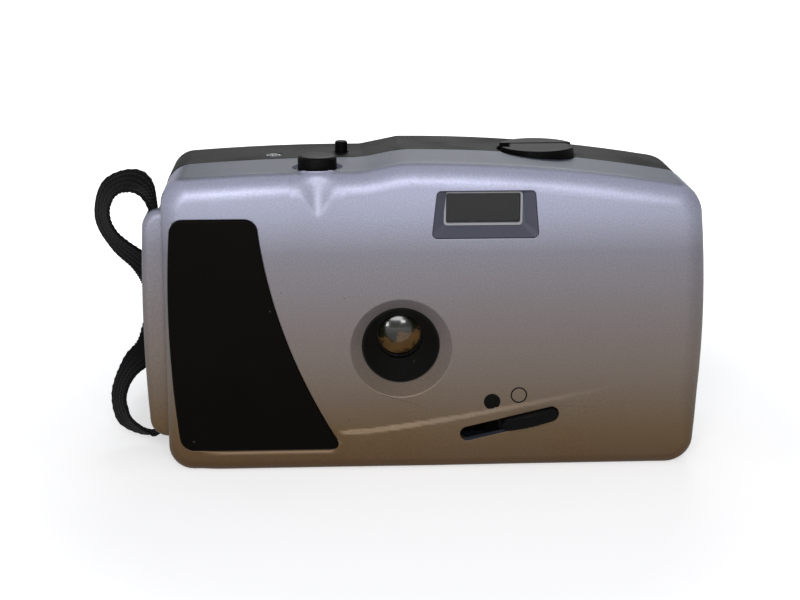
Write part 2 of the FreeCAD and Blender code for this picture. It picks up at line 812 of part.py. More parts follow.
def cover_blade():
    """Disc that covers the throat, and a slotted arm in front that the slider's pin drives."""
    reach = math.hypot(cover_pivot[0] - sheet.lens_x, cover_pivot[1] - sheet.lens_z)
    shut = math.atan2(sheet.lens_z - cover_pivot[1], sheet.lens_x - cover_pivot[0])
    slant = math.radians(sheet.slot_angle)
    shut_pin = (PIN[0] - sheet.slider_travel * math.cos(slant), PIN[1] - sheet.slider_travel * math.sin(slant))
    swing = (math.atan2(PIN[1] - cover_pivot[1], PIN[0] - cover_pivot[0])
             - math.atan2(shut_pin[1] - cover_pivot[1], shut_pin[0] - cover_pivot[0]))
    print("cover blade swings %.2f degrees" % math.degrees(swing))
    opened = shut + swing
    rest = (cover_pivot[0] + reach * math.cos(opened), cover_pivot[1] + reach * math.sin(opened))
    shape = swing_blade(cover_pivot, rest, 5.4, 3.0, 2.4, 1.5, places.cover_plane, places.cover_plane + 0.5)
    front = sheet.arm_plane
    hub = Part.makeCylinder(2.4, places.cover_plane - front + 0.5,
                            Vector(cover_pivot[0], front, cover_pivot[1]), Vector(0, 1, 0))
    hole = Part.makeCylinder(1.5, 8, Vector(cover_pivot[0], front - 1, cover_pivot[1]), Vector(0, 1, 0))
    arm = link(cover_pivot, PIN, 4.4, front, front + 0.6)
    angle = math.atan2(PIN[1] - cover_pivot[1], PIN[0] - cover_pivot[0])
    far = (PIN[0] + 1.2 * math.cos(angle), PIN[1] + 1.2 * math.sin(angle))
    near = (PIN[0] - 3.0 * math.cos(angle), PIN[1] - 3.0 * math.sin(angle))
    arm = arm.fuse(link(PIN, (PIN[0] + 2.4 * math.cos(angle), PIN[1] + 2.4 * math.sin(angle)), 4.4,
                        front, front + 0.6))
    slot = link(near, far, 2.5, front - 1, front + 2)
    return shape.fuse(hub).fuse(arm).cut(slot).cut(hole).removeSplitter()


node(form("cover_blade", cover_blade()), "lens_cover_blade")


def slider():
    """Ribbed knob in the slot, its guide plate behind the wall, and the drive pin."""
    half = sheet.slot_length / 2
    front = places.front - 0.9
    back = places.front_inner + 0.2
    knob = bar(half - 0.3 - 12.4, half - 0.3, sheet.slot_width - 0.6, front, back)
    rib = sheet.rib_pitch
    cuts = None
    for number in range(sheet.slider_ribs):
        x = half - 0.3 - 6.2 + (number - (sheet.slider_ribs - 1) / 2) * rib
        groove = Part.makeBox(rib / 2, 0.5, sheet.slot_width, Vector(x - rib / 4, front, -sheet.slot_width / 2))
        cuts = groove if cuts is None else cuts.fuse(groove)
    knob = knob.cut(cuts)
    guide = Part.makeBox(14.0, 0.8, sheet.slot_width + 2.4,
                         Vector(half - 0.3 - 13.2, places.front_inner + 0.2, -(sheet.slot_width + 2.4) / 2))
    pin = Part.makeCylinder(0.7, sheet.arm_plane + 0.9 - (places.front_inner + 0.2),
                            Vector(PIN[0], places.front_inner + 0.2, PIN[1]), Vector(0, 1, 0))
    return on_slot(knob.fuse(guide)).fuse(pin).removeSplitter()


node(form("slider", slider()), "lens_cover_slider")

# Shutter button

node(fuse("button", turned("button_cap", [
    ("0", "-6.7"), ("button_radius", "-6.7"), ("button_radius", "-0.5"), ("button_radius - 0.5", "-0.1"),
    ("1.2", "0"), ("0", "0"),
], ("button_x", "button_y", "button_top")),
    rod("button_stem", "1.3", ("button_x", "button_y", "lens_z + 22"), "button_top - lens_z - 28"),
    ball("button_tip", "1.3", ("button_x", "button_y", "lens_z + 22")),
    box("button_wings", ("button_x - 6", "button_y - 1.4", "shoulder - 3.4"),
        ("button_x + 6", "button_y + 1.6", "shoulder - 2.2"))), "shutter_button")
node(form("return_spring", coil(2.5, 0.35, 5, 4.7, Vector(sheet.button_x, sheet.button_y, 57.4), "z")),
     "button_spring")

# Main body

def level(low, high):
    """Everything between two heights."""
    return Part.makeBox(200, 200, high - low, Vector(-100, -100, low))


def behind(front, back):
    """Everything between two depths."""
    return Part.makeBox(200, back - front, 200, Vector(-100, front, -50))


def body_shell():
    """Walls round the film path, the lip under the door and the rib that closes the strap's channel."""
    ring = case_block(0, places.seam, sheet.door_seat).cut(
        case_block(sheet.wall, places.seam - 1, sheet.door_seat + 1))
    ring = ring.common(level(-1, sheet.cover_split))
    lip = case_block(0, sheet.door_seat - 0.5, sheet.back_reach, 0, sheet.back_round).common(
        level(-1, sheet.door_bottom - sheet.part_gap))
    rib = side_rib(sheet.flange_bottom + 2.4, sheet.flange_top - 6, places.seam, places.seam + 3.2)
    return ring.fuse(lip).fuse(rib).removeSplitter()


def rectangle(width, height):
    half_wide = width / 2
    half_high = height / 2
    x, z = lens_axis
    return [(x - half_wide, z - half_high), (x + half_wide, z - half_high),
            (x + half_wide, z + half_high), (x - half_wide, z + half_high)]


def inner_block(inset):
    return case_block(inset, places.front_inner + 0.1, sheet.door_seat)


walls = form("walls", body_shell())
room = form("room", inner_block(sheet.wall - 0.4))
front_room = form("front_room", inner_block(sheet.wall + 0.3))
deck_rear = common("deck_in_walls", box("deck_rear", ("-left_reach", "seam", "deck_under"),
                                        ("right_reach", "door_seat - 0.3", "deck_top")), room)
deck_front = common("deck_in_shell", fuse(
    "deck_ahead",
    box("deck_middle", ("-left_reach", "-8", "deck_under"), ("right_reach", "seam + 1", "deck_top")),
    box("deck_shelf", ("button_x - 9", "-16.5", "deck_under"), ("button_x + 12", "-7", "deck_top"))), front_room)
rear_beam = common("beam_in_walls", box("rear_beam", ("-left_reach", "door_seat - 2.8", "chamber_top"),
                                        ("right_reach", "door_seat", "cover_split")), room)
floor_beam = common("sill_in_walls", box("floor_beam", ("-left_reach", "door_seat - 2.8", "wall - 0.3"),
                                         ("right_reach", "door_seat", "chamber_bottom")), room)
rear_plate = box("rear_plate", ("shell_left + 1", "film_plane - 2", "chamber_bottom - 0.5"),
                 ("right_edge - 2.5", "film_plane", "chamber_top + 0.5"))
ahead_of_door = box("ahead_of_door", ("-100", "-50", "0"), ("100", "door_seat", "cover_split"))


def chamber(name, x, y, radius):
    tube = rod(name + "_tube", radius + " + chamber_wall", (x, y, "chamber_bottom - chamber_wall"),
               "deck_under - chamber_bottom + chamber_wall + 0.1")
    return common(name, tube, ahead_of_door)


cassette_tube = chamber("cassette_chamber", "cassette_x", "cassette_y", "chamber_radius")
takeup_tube = chamber("takeup_chamber", "takeup_x", "takeup_y", "takeup_room")
cassette_room = rod("cassette_room", "chamber_radius", ("cassette_x", "cassette_y", "chamber_bottom"),
                    "chamber_top - chamber_bottom")
takeup_space = rod("takeup_space", "takeup_room", ("takeup_x", "takeup_y", "chamber_bottom"),
                   "chamber_top - chamber_bottom")
cassette_mouth = box("cassette_mouth", ("cassette_x - 8.4", "cassette_y", "chamber_bottom"),
                     ("cassette_x + chamber_radius", "door_seat + 1", "chamber_top"))
takeup_mouth = box("takeup_mouth", ("takeup_x - takeup_room", "takeup_y", "chamber_bottom"),
                   ("takeup_x + takeup_room", "door_seat + 1", "chamber_top"))
tunnel = form("tunnel", funnel(rectangle(10, 10), places.mount_front + 3.9,
                               rectangle(sheet.gate_width + 3, sheet.gate_height + 3), sheet.film_plane))
tunnel_room = form("tunnel_room", funnel(rectangle(7, 7), places.mount_front + 3.8,
                                         rectangle(sheet.gate_width, sheet.gate_height), sheet.film_plane + 0.01))
lens_plate = box("lens_plate", ("lens_x - 15.6", "mount_front + 2.4", "lens_z - 16"),
                 ("lens_x + 18.4", "mount_front + 3.9", "lens_z + 16"))
posts = [rod("mount_post_%d" % number, "1.5", (x, "mount_front + 1", z), "1.6", "y")
         for number, (x, z) in enumerate(MOUNT_POSTS)]
posts.append(rod("blade_post", "1.0", (BLADE_PIVOT[0], "mount_front + 1", BLADE_PIVOT[1]), "1.6", "y"))
posts.append(rod("cover_blade_post", "1.2", (COVER_PIVOT[0], "arm_plane - 0.4", COVER_PIVOT[1]), "10", "y"))
sprocket_boss = common("sprocket_boss", rod("sprocket_block", "sprocket_radius + 3.1",
                                            ("sprocket_x", "sprocket_y", "sprocket_z - 3.2"), "6.5"),
                       box("ahead_of_film", ("-100", "-50", "0"), ("100", "film_plane", "60")))
bosses = [
    rod("button_boss", "3.6", ("button_x", "button_y", "deck_top"), "4.3"),
    rod("left_screw_boss", "3.0", ("takeup_x - 2.5", "-8", "2.7"), "12"),
    rod("right_screw_boss", "3.0", ("cassette_x + 11.1", "-9", "2.7"), "12"),
    rod("latch_spring_seat", "1.8", ("latch_coil_x", "7", "1.5"), "3.5"),
    box("left_cover_post", ("-9", "1.9", "deck_under"), ("-3", "4.9", "cover_split + 8")),
    box("right_cover_post", ("43", "1.9", "deck_under"), ("49", "4.9", "cover_split + 8")),
]
lugs = []
for number, (low, high) in enumerate((("door_bottom - 0.6", "9.6"), ("47.9", "cover_split - 0.5"))):
    lugs.append(rod("lug_%d" % number, "hinge_radius", ("hinge_x", "hinge_y", low), "%s - (%s)" % (high, low)))
    lugs.append(box("lug_web_%d" % number, ("shell_left", "door_seat - 1.5", low), ("hinge_x + 0.9", "hinge_y", high)))
solid_body = fuse("body_solid", walls, deck_rear, deck_front, rear_beam, floor_beam, rear_plate, cassette_tube,
                  takeup_tube, tunnel, lens_plate, sprocket_boss, *posts, *bosses, *lugs)
bores = [
    rod("rewind_bore", "shaft_radius + shaft_play", ("cassette_x", "cassette_y", "chamber_top - 1"), "5"),
    rod("cassette_hub", "hub_radius", ("cassette_x", "cassette_y", "chamber_bottom - 1"), "2"),
    rod("takeup_bore", "shaft_radius + shaft_play", ("takeup_x", "takeup_y", "chamber_top - 1"), "5"),
    rod("takeup_foot", "1.8", ("takeup_x", "takeup_y", "chamber_bottom - 1.2"), "2"),
    rod("sprocket_pocket", "sprocket_radius + 1.45", ("sprocket_x", "sprocket_y", "sprocket_z - 1.4"), "2.9"),
    rod("sprocket_bore", "1.8", ("sprocket_x", "sprocket_y", "sprocket_z - 2.9"), "15"),
    rod("stem_bore", "1.6", ("button_x", "button_y", "deck_under - 1"), "10"),
    rod("light_hole", "3.0", ("lens_x", "mount_front + 2", "lens_z"), "3", "y"),
    rod("left_screw_hole", "screw_radius - 0.1", ("takeup_x - 2.5", "-8", "2"), "9"),
    rod("right_screw_hole", "screw_radius - 0.1", ("cassette_x + 11.1", "-9", "2"), "9"),
    rod("left_cover_hole", "screw_radius - 0.1", ("-6", "1", "cover_split + 5"), "5", "y"),
    rod("right_cover_hole", "screw_radius - 0.1", ("46", "1", "cover_split + 5"), "5", "y"),
    rod("hinge_bore", "hinge_pin_radius + 0.05", ("hinge_x", "hinge_y", "door_bottom"), "60"),
    box("latch_slot", ("latch_x - 1", "4.2", "latch_low + 0.7"), ("right_reach + 1", "8.8", "latch_low + 11.3")),
    box("top_seal_groove", ("-50", "door_seat - 0.4", "52.1"), ("56", "door_seat + 1", "53.3")),
    box("low_seal_groove", ("-50", "door_seat - 0.4", "3.9"), ("56", "door_seat + 1", "5.1")),
]
node(cut("body", solid_body, cassette_room, takeup_space, cassette_mouth, takeup_mouth, tunnel_room, *bores),
     "main_body")

# Top cover


def cover_shell():
    skin = case_block(0, places.seam, sheet.back_reach, 0, sheet.back_round)
    hollow = case_block(sheet.wall, places.seam - 1, places.door_inner + 0.4, 0, sheet.back_round - sheet.wall)
    cover = skin.cut(hollow).common(level(sheet.cover_split, 100))
    lining = Part.makeCylinder(sheet.knob_radius + 2, 2.2,
                               Vector(places.cassette_x, sheet.cassette_y, places.knob_bottom - 1.9))
    return cover.fuse(lining.common(skin).common(behind(places.seam, 50))).removeSplitter()


cover_walls = form("cover_walls", cover_shell())
cover_parts = [
    rod("dial_boss", "2.0", ("dial_x", "dial_y", "cover_split + 9.2"), "2.4"),
    rod("dial_stub", "1.2", ("dial_x", "dial_y", "cover_split + 6.7"), "4"),
    box("left_tab", ("-9", "0.1", "cover_split + 2.5"), ("-3", "1.8", "shoulder + 0.3")),
    box("right_tab", ("43", "0.1", "cover_split + 2.5"), ("49", "1.8", "body_height - 4.8")),
]
cover_cuts = [
    rod("cover_knob_well", "knob_radius + 0.4", ("cassette_x", "cassette_y", "knob_bottom - 0.2"), "8"),
    rod("cover_shaft_bore", "shaft_radius + shaft_play", ("cassette_x", "cassette_y", "knob_bottom - 4"), "8"),
    rod("peg_hole", "peg_radius + 0.25", ("sprocket_x", "sprocket_y", "shoulder - 4"), "8"),
    rod("counter_hole", "dial_window_radius", ("dial_window_x", "dial_window_y", "shoulder - 4"), "8"),
    box("eye_hole", ("finder_x - eye_width / 2 - 0.1", "back_reach - 4", "finder_z - eye_height / 2 - 0.1"),
        ("finder_x + eye_width / 2 + 0.1", "back_reach + 1", "finder_z + eye_height / 2 + 0.1")),
    box("wheel_slot", ("takeup_x - 8.8", "back_reach - 4", "wheel_bottom - 0.4"),
        ("takeup_x + 8.8", "back_reach + 1", "wheel_bottom + wheel_thick + 0.4")),
    rod("left_tab_hole", "screw_radius + 0.1", ("-6", "0", "cover_split + 5"), "3", "y"),
    rod("right_tab_hole", "screw_radius + 0.1", ("46", "0", "cover_split + 5"), "3", "y"),
]
node(cut("cover", fuse("cover_solid", cover_walls, *cover_parts), *cover_cuts), "top_cover")

# Frame counter

node(fuse("counter_glass",
          rod("counter_plug", "dial_window_radius - 0.1", ("dial_window_x", "dial_window_y", "shoulder - 2.3"), "2.0"),
          rod("counter_rim", "dial_window_radius + 1", ("dial_window_x", "dial_window_y", "shoulder - 3.1"), "0.9")),
     "counter_window")


def ribbed(outer, inner, count, low, high, x, y):
    """Disc on a vertical axis with a ribbed edge."""
    points = []
    for number in range(count):
        for share, radius in ((0, outer), (0.4, outer), (0.55, inner), (0.85, inner)):
            angle = (number + share) * 2 * math.pi / count
            points.append(Vector(x + radius * math.cos(angle), y + radius * math.sin(angle), low))
    face = Part.Face(Part.makePolygon(points + points[:1]))
    return face.extrude(Vector(0, 0, high - low))


def drum(radius, low, high, x, y):
    return Part.makeCylinder(radius, high - low, Vector(x, y, low))


dial_low = sheet.cover_split + 6.9
dial = ribbed(sheet.dial_radius, sheet.dial_radius - 0.8, 40, dial_low, dial_low + 0.8, sheet.dial_x, sheet.dial_y)
dial = dial.fuse(drum(2.6, dial_low - 0.2, dial_low + 1.8, sheet.dial_x, sheet.dial_y))
dial = dial.cut(drum(1.5, dial_low - 1, dial_low + 3, sheet.dial_x, sheet.dial_y))
node(form("dial", dial), "counter_dial")


def finger_disc():
    """Cam on the sprocket shaft whose single finger moves the dial one tooth for each turn."""
    x, y = places.sprocket_x, places.sprocket_y
    hub = drum(2.4, dial_low, dial_low + 0.6, x, y)
    away = math.atan2(y - sheet.dial_y, x - sheet.dial_x) + math.radians(45)
    reach = math.hypot(x - sheet.dial_x, y - sheet.dial_y) - sheet.dial_radius - 0.1
    finger = Part.makeBox(reach, 0.9, 0.6, Vector(0, -0.45, dial_low))
    finger.rotate(Vector(), Vector(0, 0, 1), math.degrees(away))
    finger.translate(Vector(x, y, 0))
    return hub.fuse(finger).cut(drum(1.5, dial_low - 1, dial_low + 2, x, y)).removeSplitter()


node(form("cam", finger_disc()), "counter_cam")

# Rewind release peg

node(turned("peg", [
    ("0", "-5.3"), ("peg_radius + 0.9", "-5.3"), ("peg_radius + 0.9", "-4.65"), ("peg_radius", "-4.65"),
    ("peg_radius", "-0.25"), ("peg_radius - 0.25", "0"), ("0", "0"),
], ("sprocket_x", "sprocket_y", "peg_top")), "rewind_release")
node(form("peg_spring", coil(1.1, 0.17, 2, 1.5, Vector(places.sprocket_x, places.sprocket_y, 62.15), "z")),
     "release_spring")

# Film sprocket, take-up spool and thumb wheel


def sprocket():
    x, y, z = places.sprocket_x, places.sprocket_y, places.sprocket_z
    half = sheet.sprocket_thick / 2
    shape = drum(sheet.sprocket_radius, z - half, z + half, x, y)
    shape = shape.fuse(drum(1.5, z - 2.8, sheet.cover_split + 7.8, x, y))
    for number in range(8):
        tooth = Part.makeBox(sheet.tooth_height + 1, 1.1, 1.1, Vector(sheet.sprocket_radius - 1, -0.55, z - 0.55))
        tooth.rotate(Vector(), Vector(0, 0, 1), 45 * number + 22.5)
        tooth.translate(Vector(x, y, 0))
        shape = shape.fuse(tooth)
    return shape.removeSplitter()


node(form("toothed_drum", sprocket()), "film_sprocket")


def spool():
    x, y = sheet.takeup_x, sheet.takeup_y
    low = places.chamber_bottom + 0.3
    high = places.chamber_top - 0.3
    shape = drum(sheet.spool_radius, low, high, x, y)
    shape = shape.fuse(drum(1.5, low - 1.2, low, x, y))
    shape = shape.fuse(drum(sheet.shaft_radius, high, sheet.wheel_bottom + sheet.wheel_thick, x, y))
    slit = Part.makeBox(1.2, 2 * sheet.spool_radius + 2, sheet.film_height,
                        Vector(x - 0.6, y - sheet.spool_radius - 1, sheet.lens_z - sheet.film_height / 2))
    return shape.cut(slit).removeSplitter()


node(form("film_spool", spool()), "takeup_spool")

wheel_low = sheet.wheel_bottom
wheel = ribbed(sheet.wheel_radius, sheet.wheel_radius - 0.45, 56, wheel_low, wheel_low + sheet.wheel_thick,
               sheet.takeup_x, sheet.takeup_y)
wheel = wheel.fuse(drum(4.0, places.deck_top + 0.3, wheel_low, sheet.takeup_x, sheet.takeup_y))
wheel = wheel.cut(drum(sheet.shaft_radius + 0.05, 50, 70, sheet.takeup_x, sheet.takeup_y))
node(form("thumb_wheel", wheel), "advance_wheel")


def pawl():
    """Click spring that bears on the thumb wheel's ribs."""
    angle = math.radians(-48)
    reach = sheet.wheel_radius + 0.25
    tip = Vector(sheet.takeup_x + reach * math.cos(angle), sheet.takeup_y + reach * math.sin(angle), 0)
    low = places.deck_top
    shape = Part.makeBox(0.4, 6.5, 2.6, Vector(0, 0, wheel_low + 0.5))
    shape.rotate(Vector(), Vector(0, 0, 1), math.degrees(angle))
    shape.translate(tip)
    foot = Part.makeCylinder(1.3, wheel_low + 3.1 - low, Vector(0.2, 6.5, low))
    foot.rotate(Vector(), Vector(0, 0, 1), math.degrees(angle))
    foot.translate(tip)
    return shape.fuse(foot).removeSplitter()


node(form("click", pawl()), "wheel_pawl")

# Rewind knob with its folding crank

knob_blank = rod("knob_blank", "knob_radius", ("cassette_x", "cassette_y", "knob_bottom"), "knob_thick")
crank_slot = box("crank_slot", ("cassette_x - knob_radius - 1", "cassette_y - crank_width / 2 - 0.3", "knob_bottom + 0.8"),
                 ("cassette_x + knob_radius + 1", "cassette_y + crank_width / 2 + 0.3", "knob_top + 1"))
pin_hole = rod("pin_hole", "0.35", ("cassette_x - 5.6", "cassette_y - 3.6", "knob_top - 0.75"), "7.2", "y")
node(cut("knob", knob_blank, crank_slot, pin_hole), "rewind_knob")
node(rod("crank_pin", "0.35", ("cassette_x - 5.6", "cassette_y - 3.6", "knob_top - 0.75"), "7.2", "y"), "crank_pin")


def crank():
    pivot = Vector(places.cassette_x - 5.6, sheet.cassette_y - sheet.crank_width / 2, sheet.knob_top - 0.75)
    thick = sheet.crank_thick
    width = sheet.crank_width
    length = 13.3 - width / 2
    shape = Part.makeBox(length, width, thick, pivot - Vector(0, 0, thick / 2))
    shape = shape.fuse(Part.makeCylinder(width / 2, thick, pivot + Vector(length, width / 2, -thick / 2)))
    shape = shape.fuse(Part.makeCylinder(thick / 2, width, pivot, Vector(0, 1, 0)))
    return shape.cut(Part.makeCylinder(0.42, width + 2, pivot - Vector(0, 1, 0), Vector(0, 1, 0))).removeSplitter()


node(form("crank", crank()), "rewind_crank")

shaft = rod("fork_shaft", "shaft_radius", ("cassette_x", "cassette_y", "chamber_top - 3.9"),
            "knob_bottom - chamber_top + 3.9")
fork_gap = box("fork_gap", ("cassette_x - 4", "cassette_y - 0.8", "chamber_top - 5"),
               ("cassette_x + 4", "cassette_y + 0.8", "chamber_top + 0.1"))
node(cut("fork", shaft, fork_gap), "rewind_fork")
node(cut("collar", rod("collar_blank", "3.9", ("cassette_x", "cassette_y", "deck_top + 0.3"), "1.6"),
         rod("collar_bore", "shaft_radius + shaft_play", ("cassette_x", "cassette_y", "deck_top"), "5")),
     "rewind_collar")

# Panorama mask in the tunnel

node(cut("mask",
         box("mask_plate", ("lens_x - gate_width / 2 + 1.3", "film_plane - 1", "lens_z - gate_height / 2 + 0.8"),
             ("lens_x + gate_width / 2 - 1.3", "film_plane - 0.4", "lens_z + gate_height / 2 - 0.8")),
         box("mask_opening", ("lens_x - gate_width / 2 + 2.2", "film_plane - 2", "lens_z - mask_height / 2"),
             ("lens_x + gate_width / 2 - 2.2", "film_plane + 1", "lens_z + mask_height / 2"))), "panorama_mask")

# Back door


def door():
    low = sheet.door_bottom
    high = places.door_top
    skin = case_block(0, places.door_front, sheet.back_reach, 0, sheet.back_round).common(level(low, high))
    room = case_block(sheet.wall, places.door_front - 1, places.door_inner)
    room = room.common(level(low + sheet.wall, high - sheet.wall))
    tray = skin.cut(room)
    near_hinge = Part.makeBox(12, places.door_inner - 0.3 - places.door_front + 1, 100,
                              Vector(places.hinge_x - 8.2, places.door_front - 1, 0))
    tray = tray.cut(near_hinge)
    tray = tray.fuse(drum(sheet.hinge_radius, 10, 47.5, places.hinge_x, places.hinge_y))
    for start, end in ((0, 10), (47.5, 60)):
        tray = tray.cut(drum(sheet.hinge_radius + 0.4, start, end, places.hinge_x, places.hinge_y))
    post_x = sheet.latch_x - 3.9
    striker = Part.makeBox(1.9, 1.0, 4, Vector(post_x + 1.9, 13.0, 30)).fuse(
        Part.makeBox(2.0, places.door_inner - 12.9, 4, Vector(post_x, 13.0, 30)))
    tray = tray.fuse(striker)
    tray = tray.cut(drum(sheet.hinge_pin_radius + 0.3, 0, 60, places.hinge_x, places.hinge_y))
    return tray.removeSplitter()


door_tray = form("door_tray", door())
door_window_hole = box("door_window_hole", ("cassette_x - 6", "door_inner - 1", "lens_z - 13"),
                       ("cassette_x + 2", "back_reach + 1", "lens_z + 13"))
node(cut("door_leaf", door_tray, door_window_hole), "back_door")
node(fuse("door_glass",
          box("door_pane", ("cassette_x - 7", "door_inner - 0.8", "lens_z - 14"),
              ("cassette_x + 3", "door_inner", "lens_z + 14")),
          box("door_plug", ("cassette_x - 5.9", "door_inner - 0.1", "lens_z - 12.9"),
              ("cassette_x + 1.9", "back_reach - 0.5", "lens_z + 12.9"))), "film_window")
node(rod("hinge_rod", "hinge_pin_radius", ("hinge_x", "hinge_y", "door_bottom + 0.1"),
         "cover_split - door_bottom - 0.5"), "hinge_pin")

node(cut("film_plate",
         box("film_plate_blank", ("lens_x - gate_width / 2", "film_plane + 0.3", "lens_z - 16"),
             ("lens_x + gate_width / 2", "film_plane + 1.3", "lens_z + 16")),
         box("film_plate_notch", ("sprocket_x - 7.5", "film_plane", "sprocket_z - 3"),
             ("sprocket_x + 7.5", "film_plane + 2", "lens_z + 17"))), "pressure_plate")


def leaf_spring():
    """Bowed strip between the door and the pressure plate."""
    x, z = lens_axis
    far = places.door_inner
    near = sheet.film_plane + 1.3
    half = 13.0
    edges = []
    rims = []
    for step in (0, 0.3):
        middle = near + 0.3 - step
        end = far - step
        edges.append(Part.Arc(Vector(x - half, end, z - 4), Vector(x, middle, z - 4),
                              Vector(x + half, end, z - 4)).toShape())
        rims.append(end)
    for side in (-half, half):
        edges.append(Part.LineSegment(Vector(x + side, rims[0], z - 4), Vector(x + side, rims[1], z - 4)).toShape())
    return Part.Face(Part.Wire(Part.__sortEdges__(edges))).extrude(Vector(0, 0, 8))


node(form("leaf", leaf_spring()), "pressure_spring")
node(fuse("seal_strips",
          box("top_seal", ("-49.9", "door_seat - 0.4", "52.2"), ("55.9", "door_seat + 0.25", "53.2")),
          box("low_seal", ("-49.9", "door_seat - 0.4", "4"), ("55.9", "door_seat + 0.25", "5"))), "light_seals")

# Door latch


def latch():
    """Sliding plate with a nose behind the door's striker and a ribbed knob outside."""
    x = sheet.latch_x
    thick = sheet.latch_thick
    low = sheet.latch_low
    plate = Part.makeBox(thick, 10, 18, Vector(x, 2, low))
    nose = Part.makeBox(thick + 1.6, 1.0, 2.5, Vector(x - 1.6, 14.3, low + 11))
    tongue = Part.makeBox(thick, 4.3, 3.5, Vector(x, 11.0, low + 10.5))
    knob = Part.makeBox(3.1, 4.0, 6.0, Vector(x + thick - 0.1, 4.5, low + 5))
    foot = Part.makeBox(2.8, 4.0, thick, Vector(x - 2.6, 5.0, low))
    shape = plate.fuse(nose).fuse(tongue).fuse(knob).fuse(foot)
    for number in range(4):
        shape = shape.cut(Part.makeBox(1, 6, 0.6, Vector(x + 3.8, 3.5, low + 5.8 + 1.3 * number)))
    return shape.removeSplitter()


node(form("latch", latch()), "door_latch")
node(form("latch_coil", coil(1.1, 0.2, sheet.latch_coil_turns, sheet.latch_low - 5.7,
                             Vector(sheet.latch_coil_x, 7.0, 5.3), "z")), "latch_spring")

# Screws


def screw(name, at, axis):
    return turned(name, [
        ("0", "0.5"), ("0.6", "0.5"), ("0.6", "0"), ("1.9", "0"), ("1.9", "1.0"),
        ("screw_radius - 0.2", "1.0"), ("screw_radius - 0.2", "6.5"), ("0", "6.5"),
    ], at, axis)


node(fuse("base_screws", screw("left_base_screw", ("takeup_x - 2.5", "-8", "0.1"), "z"),
          screw("right_base_screw", ("cassette_x + 11.1", "-9", "0.1"), "z")), "case_screws")
node(fuse("cover_screws", screw("left_cover_screw", ("-6", "-0.9", "cover_split + 5"), "y"),
          screw("right_cover_screw", ("46", "-0.9", "cover_split + 5"), "y")), "top_screws")

# Wrist strap: a ring of webbing that runs up the channel, loops out to the left, falls behind the
# camera, lies in a loop on the table and comes back to the foot of the channel. Each point of its
# route has the direction in which the webbing's width lies there.

STRAP_ROUTE = [
    ((-59.85, -5.7, 48.8), (0, 1, 0)),
    ((-59.85, -5.7, 58.6), (0, 1, 0)),
    ((-66.2, -3.8, 65.2), (0.1, 0.94, 0.32)),
    ((-74.6, -0.8, 61.0), (-0.34, 0.9, 0.19)),
    ((-75.4, 1.8, 51.0), (-0.52, 0.75, -0.36)),
    ((-69.8, 5.2, 43.4), (-0.1, 0.64, -0.77)),
    ((-63.4, 9.4, 38.8), (-0.45, 0.6, -0.66)),
    ((-62.2, 17.0, 33.5), (-0.95, 0.1, -0.25)),
    ((-62.6, 25.5, 27.0), (-1, 0, 0)),
    ((-62.7, 31.5, 17.5), (-1, 0, 0)),
    ((-62.7, 38.0, 8.0), (-1, 0, 0)),
    ((-62.6, 48.0, 0.9), (-1, 0, 0)),
    ((-60.5, 59.0, 0.9), (-0.9, 0.4, 0)),
    ((-52.5, 67.5, 0.9), (-0.45, 0.9, 0)),
    ((-41.0, 68.5, 0.9), (0.2, 1, 0)),
    ((-32.5, 61.0, 0.9), (0.9, 0.4, 0)),
    ((-31.5, 49.5, 0.9), (0.9, -0.4, 0)),
    ((-39.5, 41.5, 0.9), (0.4, -0.9, 0)),
    ((-50.5, 41.0, 0.9), (0, -1, 0)),
    ((-60.2, 38.0, 0.9), (0.5, -0.87, 0)),
    ((-62.6, 29.0, 3.4), (1, 0, 0)),
    ((-62.6, 24.0, 12.5), (1, 0, 0)),
    ((-62.5, 20.0, 21.5), (1, 0, 0)),
    ((-62.0, 13.0, 25.6), (0.9, -0.2, -0.3)),
    ((-63.8, 7.0, 21.0), (0.7, -0.6, -0.38)),
    ((-70.2, 4.2, 18.6), (0.2, -0.93, -0.27)),
    ((-73.8, 0.8, 12.6), (0.53, -0.85, 0.12)),
    ((-72.6, -2.0, 6.4), (0.44, -0.68, 0.5)),
    ((-66.4, -4.6, 3.7), (0, -0.78, 0.5)),
    ((-59.85, -5.7, 4.4), (0, -1, 0)),
    ((-59.85, -5.7, 11.4), (0, -1, 0)),
]


def strap_stations():
    """Places along the strap, on straight runs joined by tangent arcs, with the way along and across."""
    points = [Vector(*point) for point, side in STRAP_ROUTE]
    sides = [Vector(*side) for point, side in STRAP_ROUTE]
    ways = [(after - before).normalize() for before, after in zip(points, points[1:])]
    runs = [(after - before).Length for before, after in zip(points, points[1:])]
    stations = [(points[0], ways[0], sides[0])]
    length = 0.0
    radii = []
    end_of_arc = points[0]
    for index in range(1, len(points) - 1):
        back, ahead = ways[index - 1], ways[index]
        turn = back.getAngle(ahead)
        trim = 0.45 * min(runs[index - 1], runs[index])
        radius = trim / math.tan(turn / 2)
        start = points[index] - back * trim
        inward = (ahead - back * math.cos(turn)).normalize()
        length += (start - end_of_arc).Length + radius * turn
        radii.append(radius)
        steps = sheet.strap_steps
        for step in range(steps + 1):
            angle = turn * step / steps
            place = start + back * (radius * math.sin(angle)) + inward * (radius * (1 - math.cos(angle)))
            way = back * math.cos(angle) + inward * math.sin(angle)
            share = (step / steps - 0.5) * 0.9
            other = sides[index + 1] if share > 0 else sides[index - 1]
            stations.append((place, way, sides[index] * (1 - abs(share)) + other * abs(share)))
        end_of_arc = points[index] + ahead * trim
    length += (points[-1] - end_of_arc).Length
    stations.append((points[-1], ways[-1], sides[-1]))
    print("strap: length %.1f, radii from %.1f" % (length, min(radii)), [round(radius, 1) for radius in radii])
    return stations, length


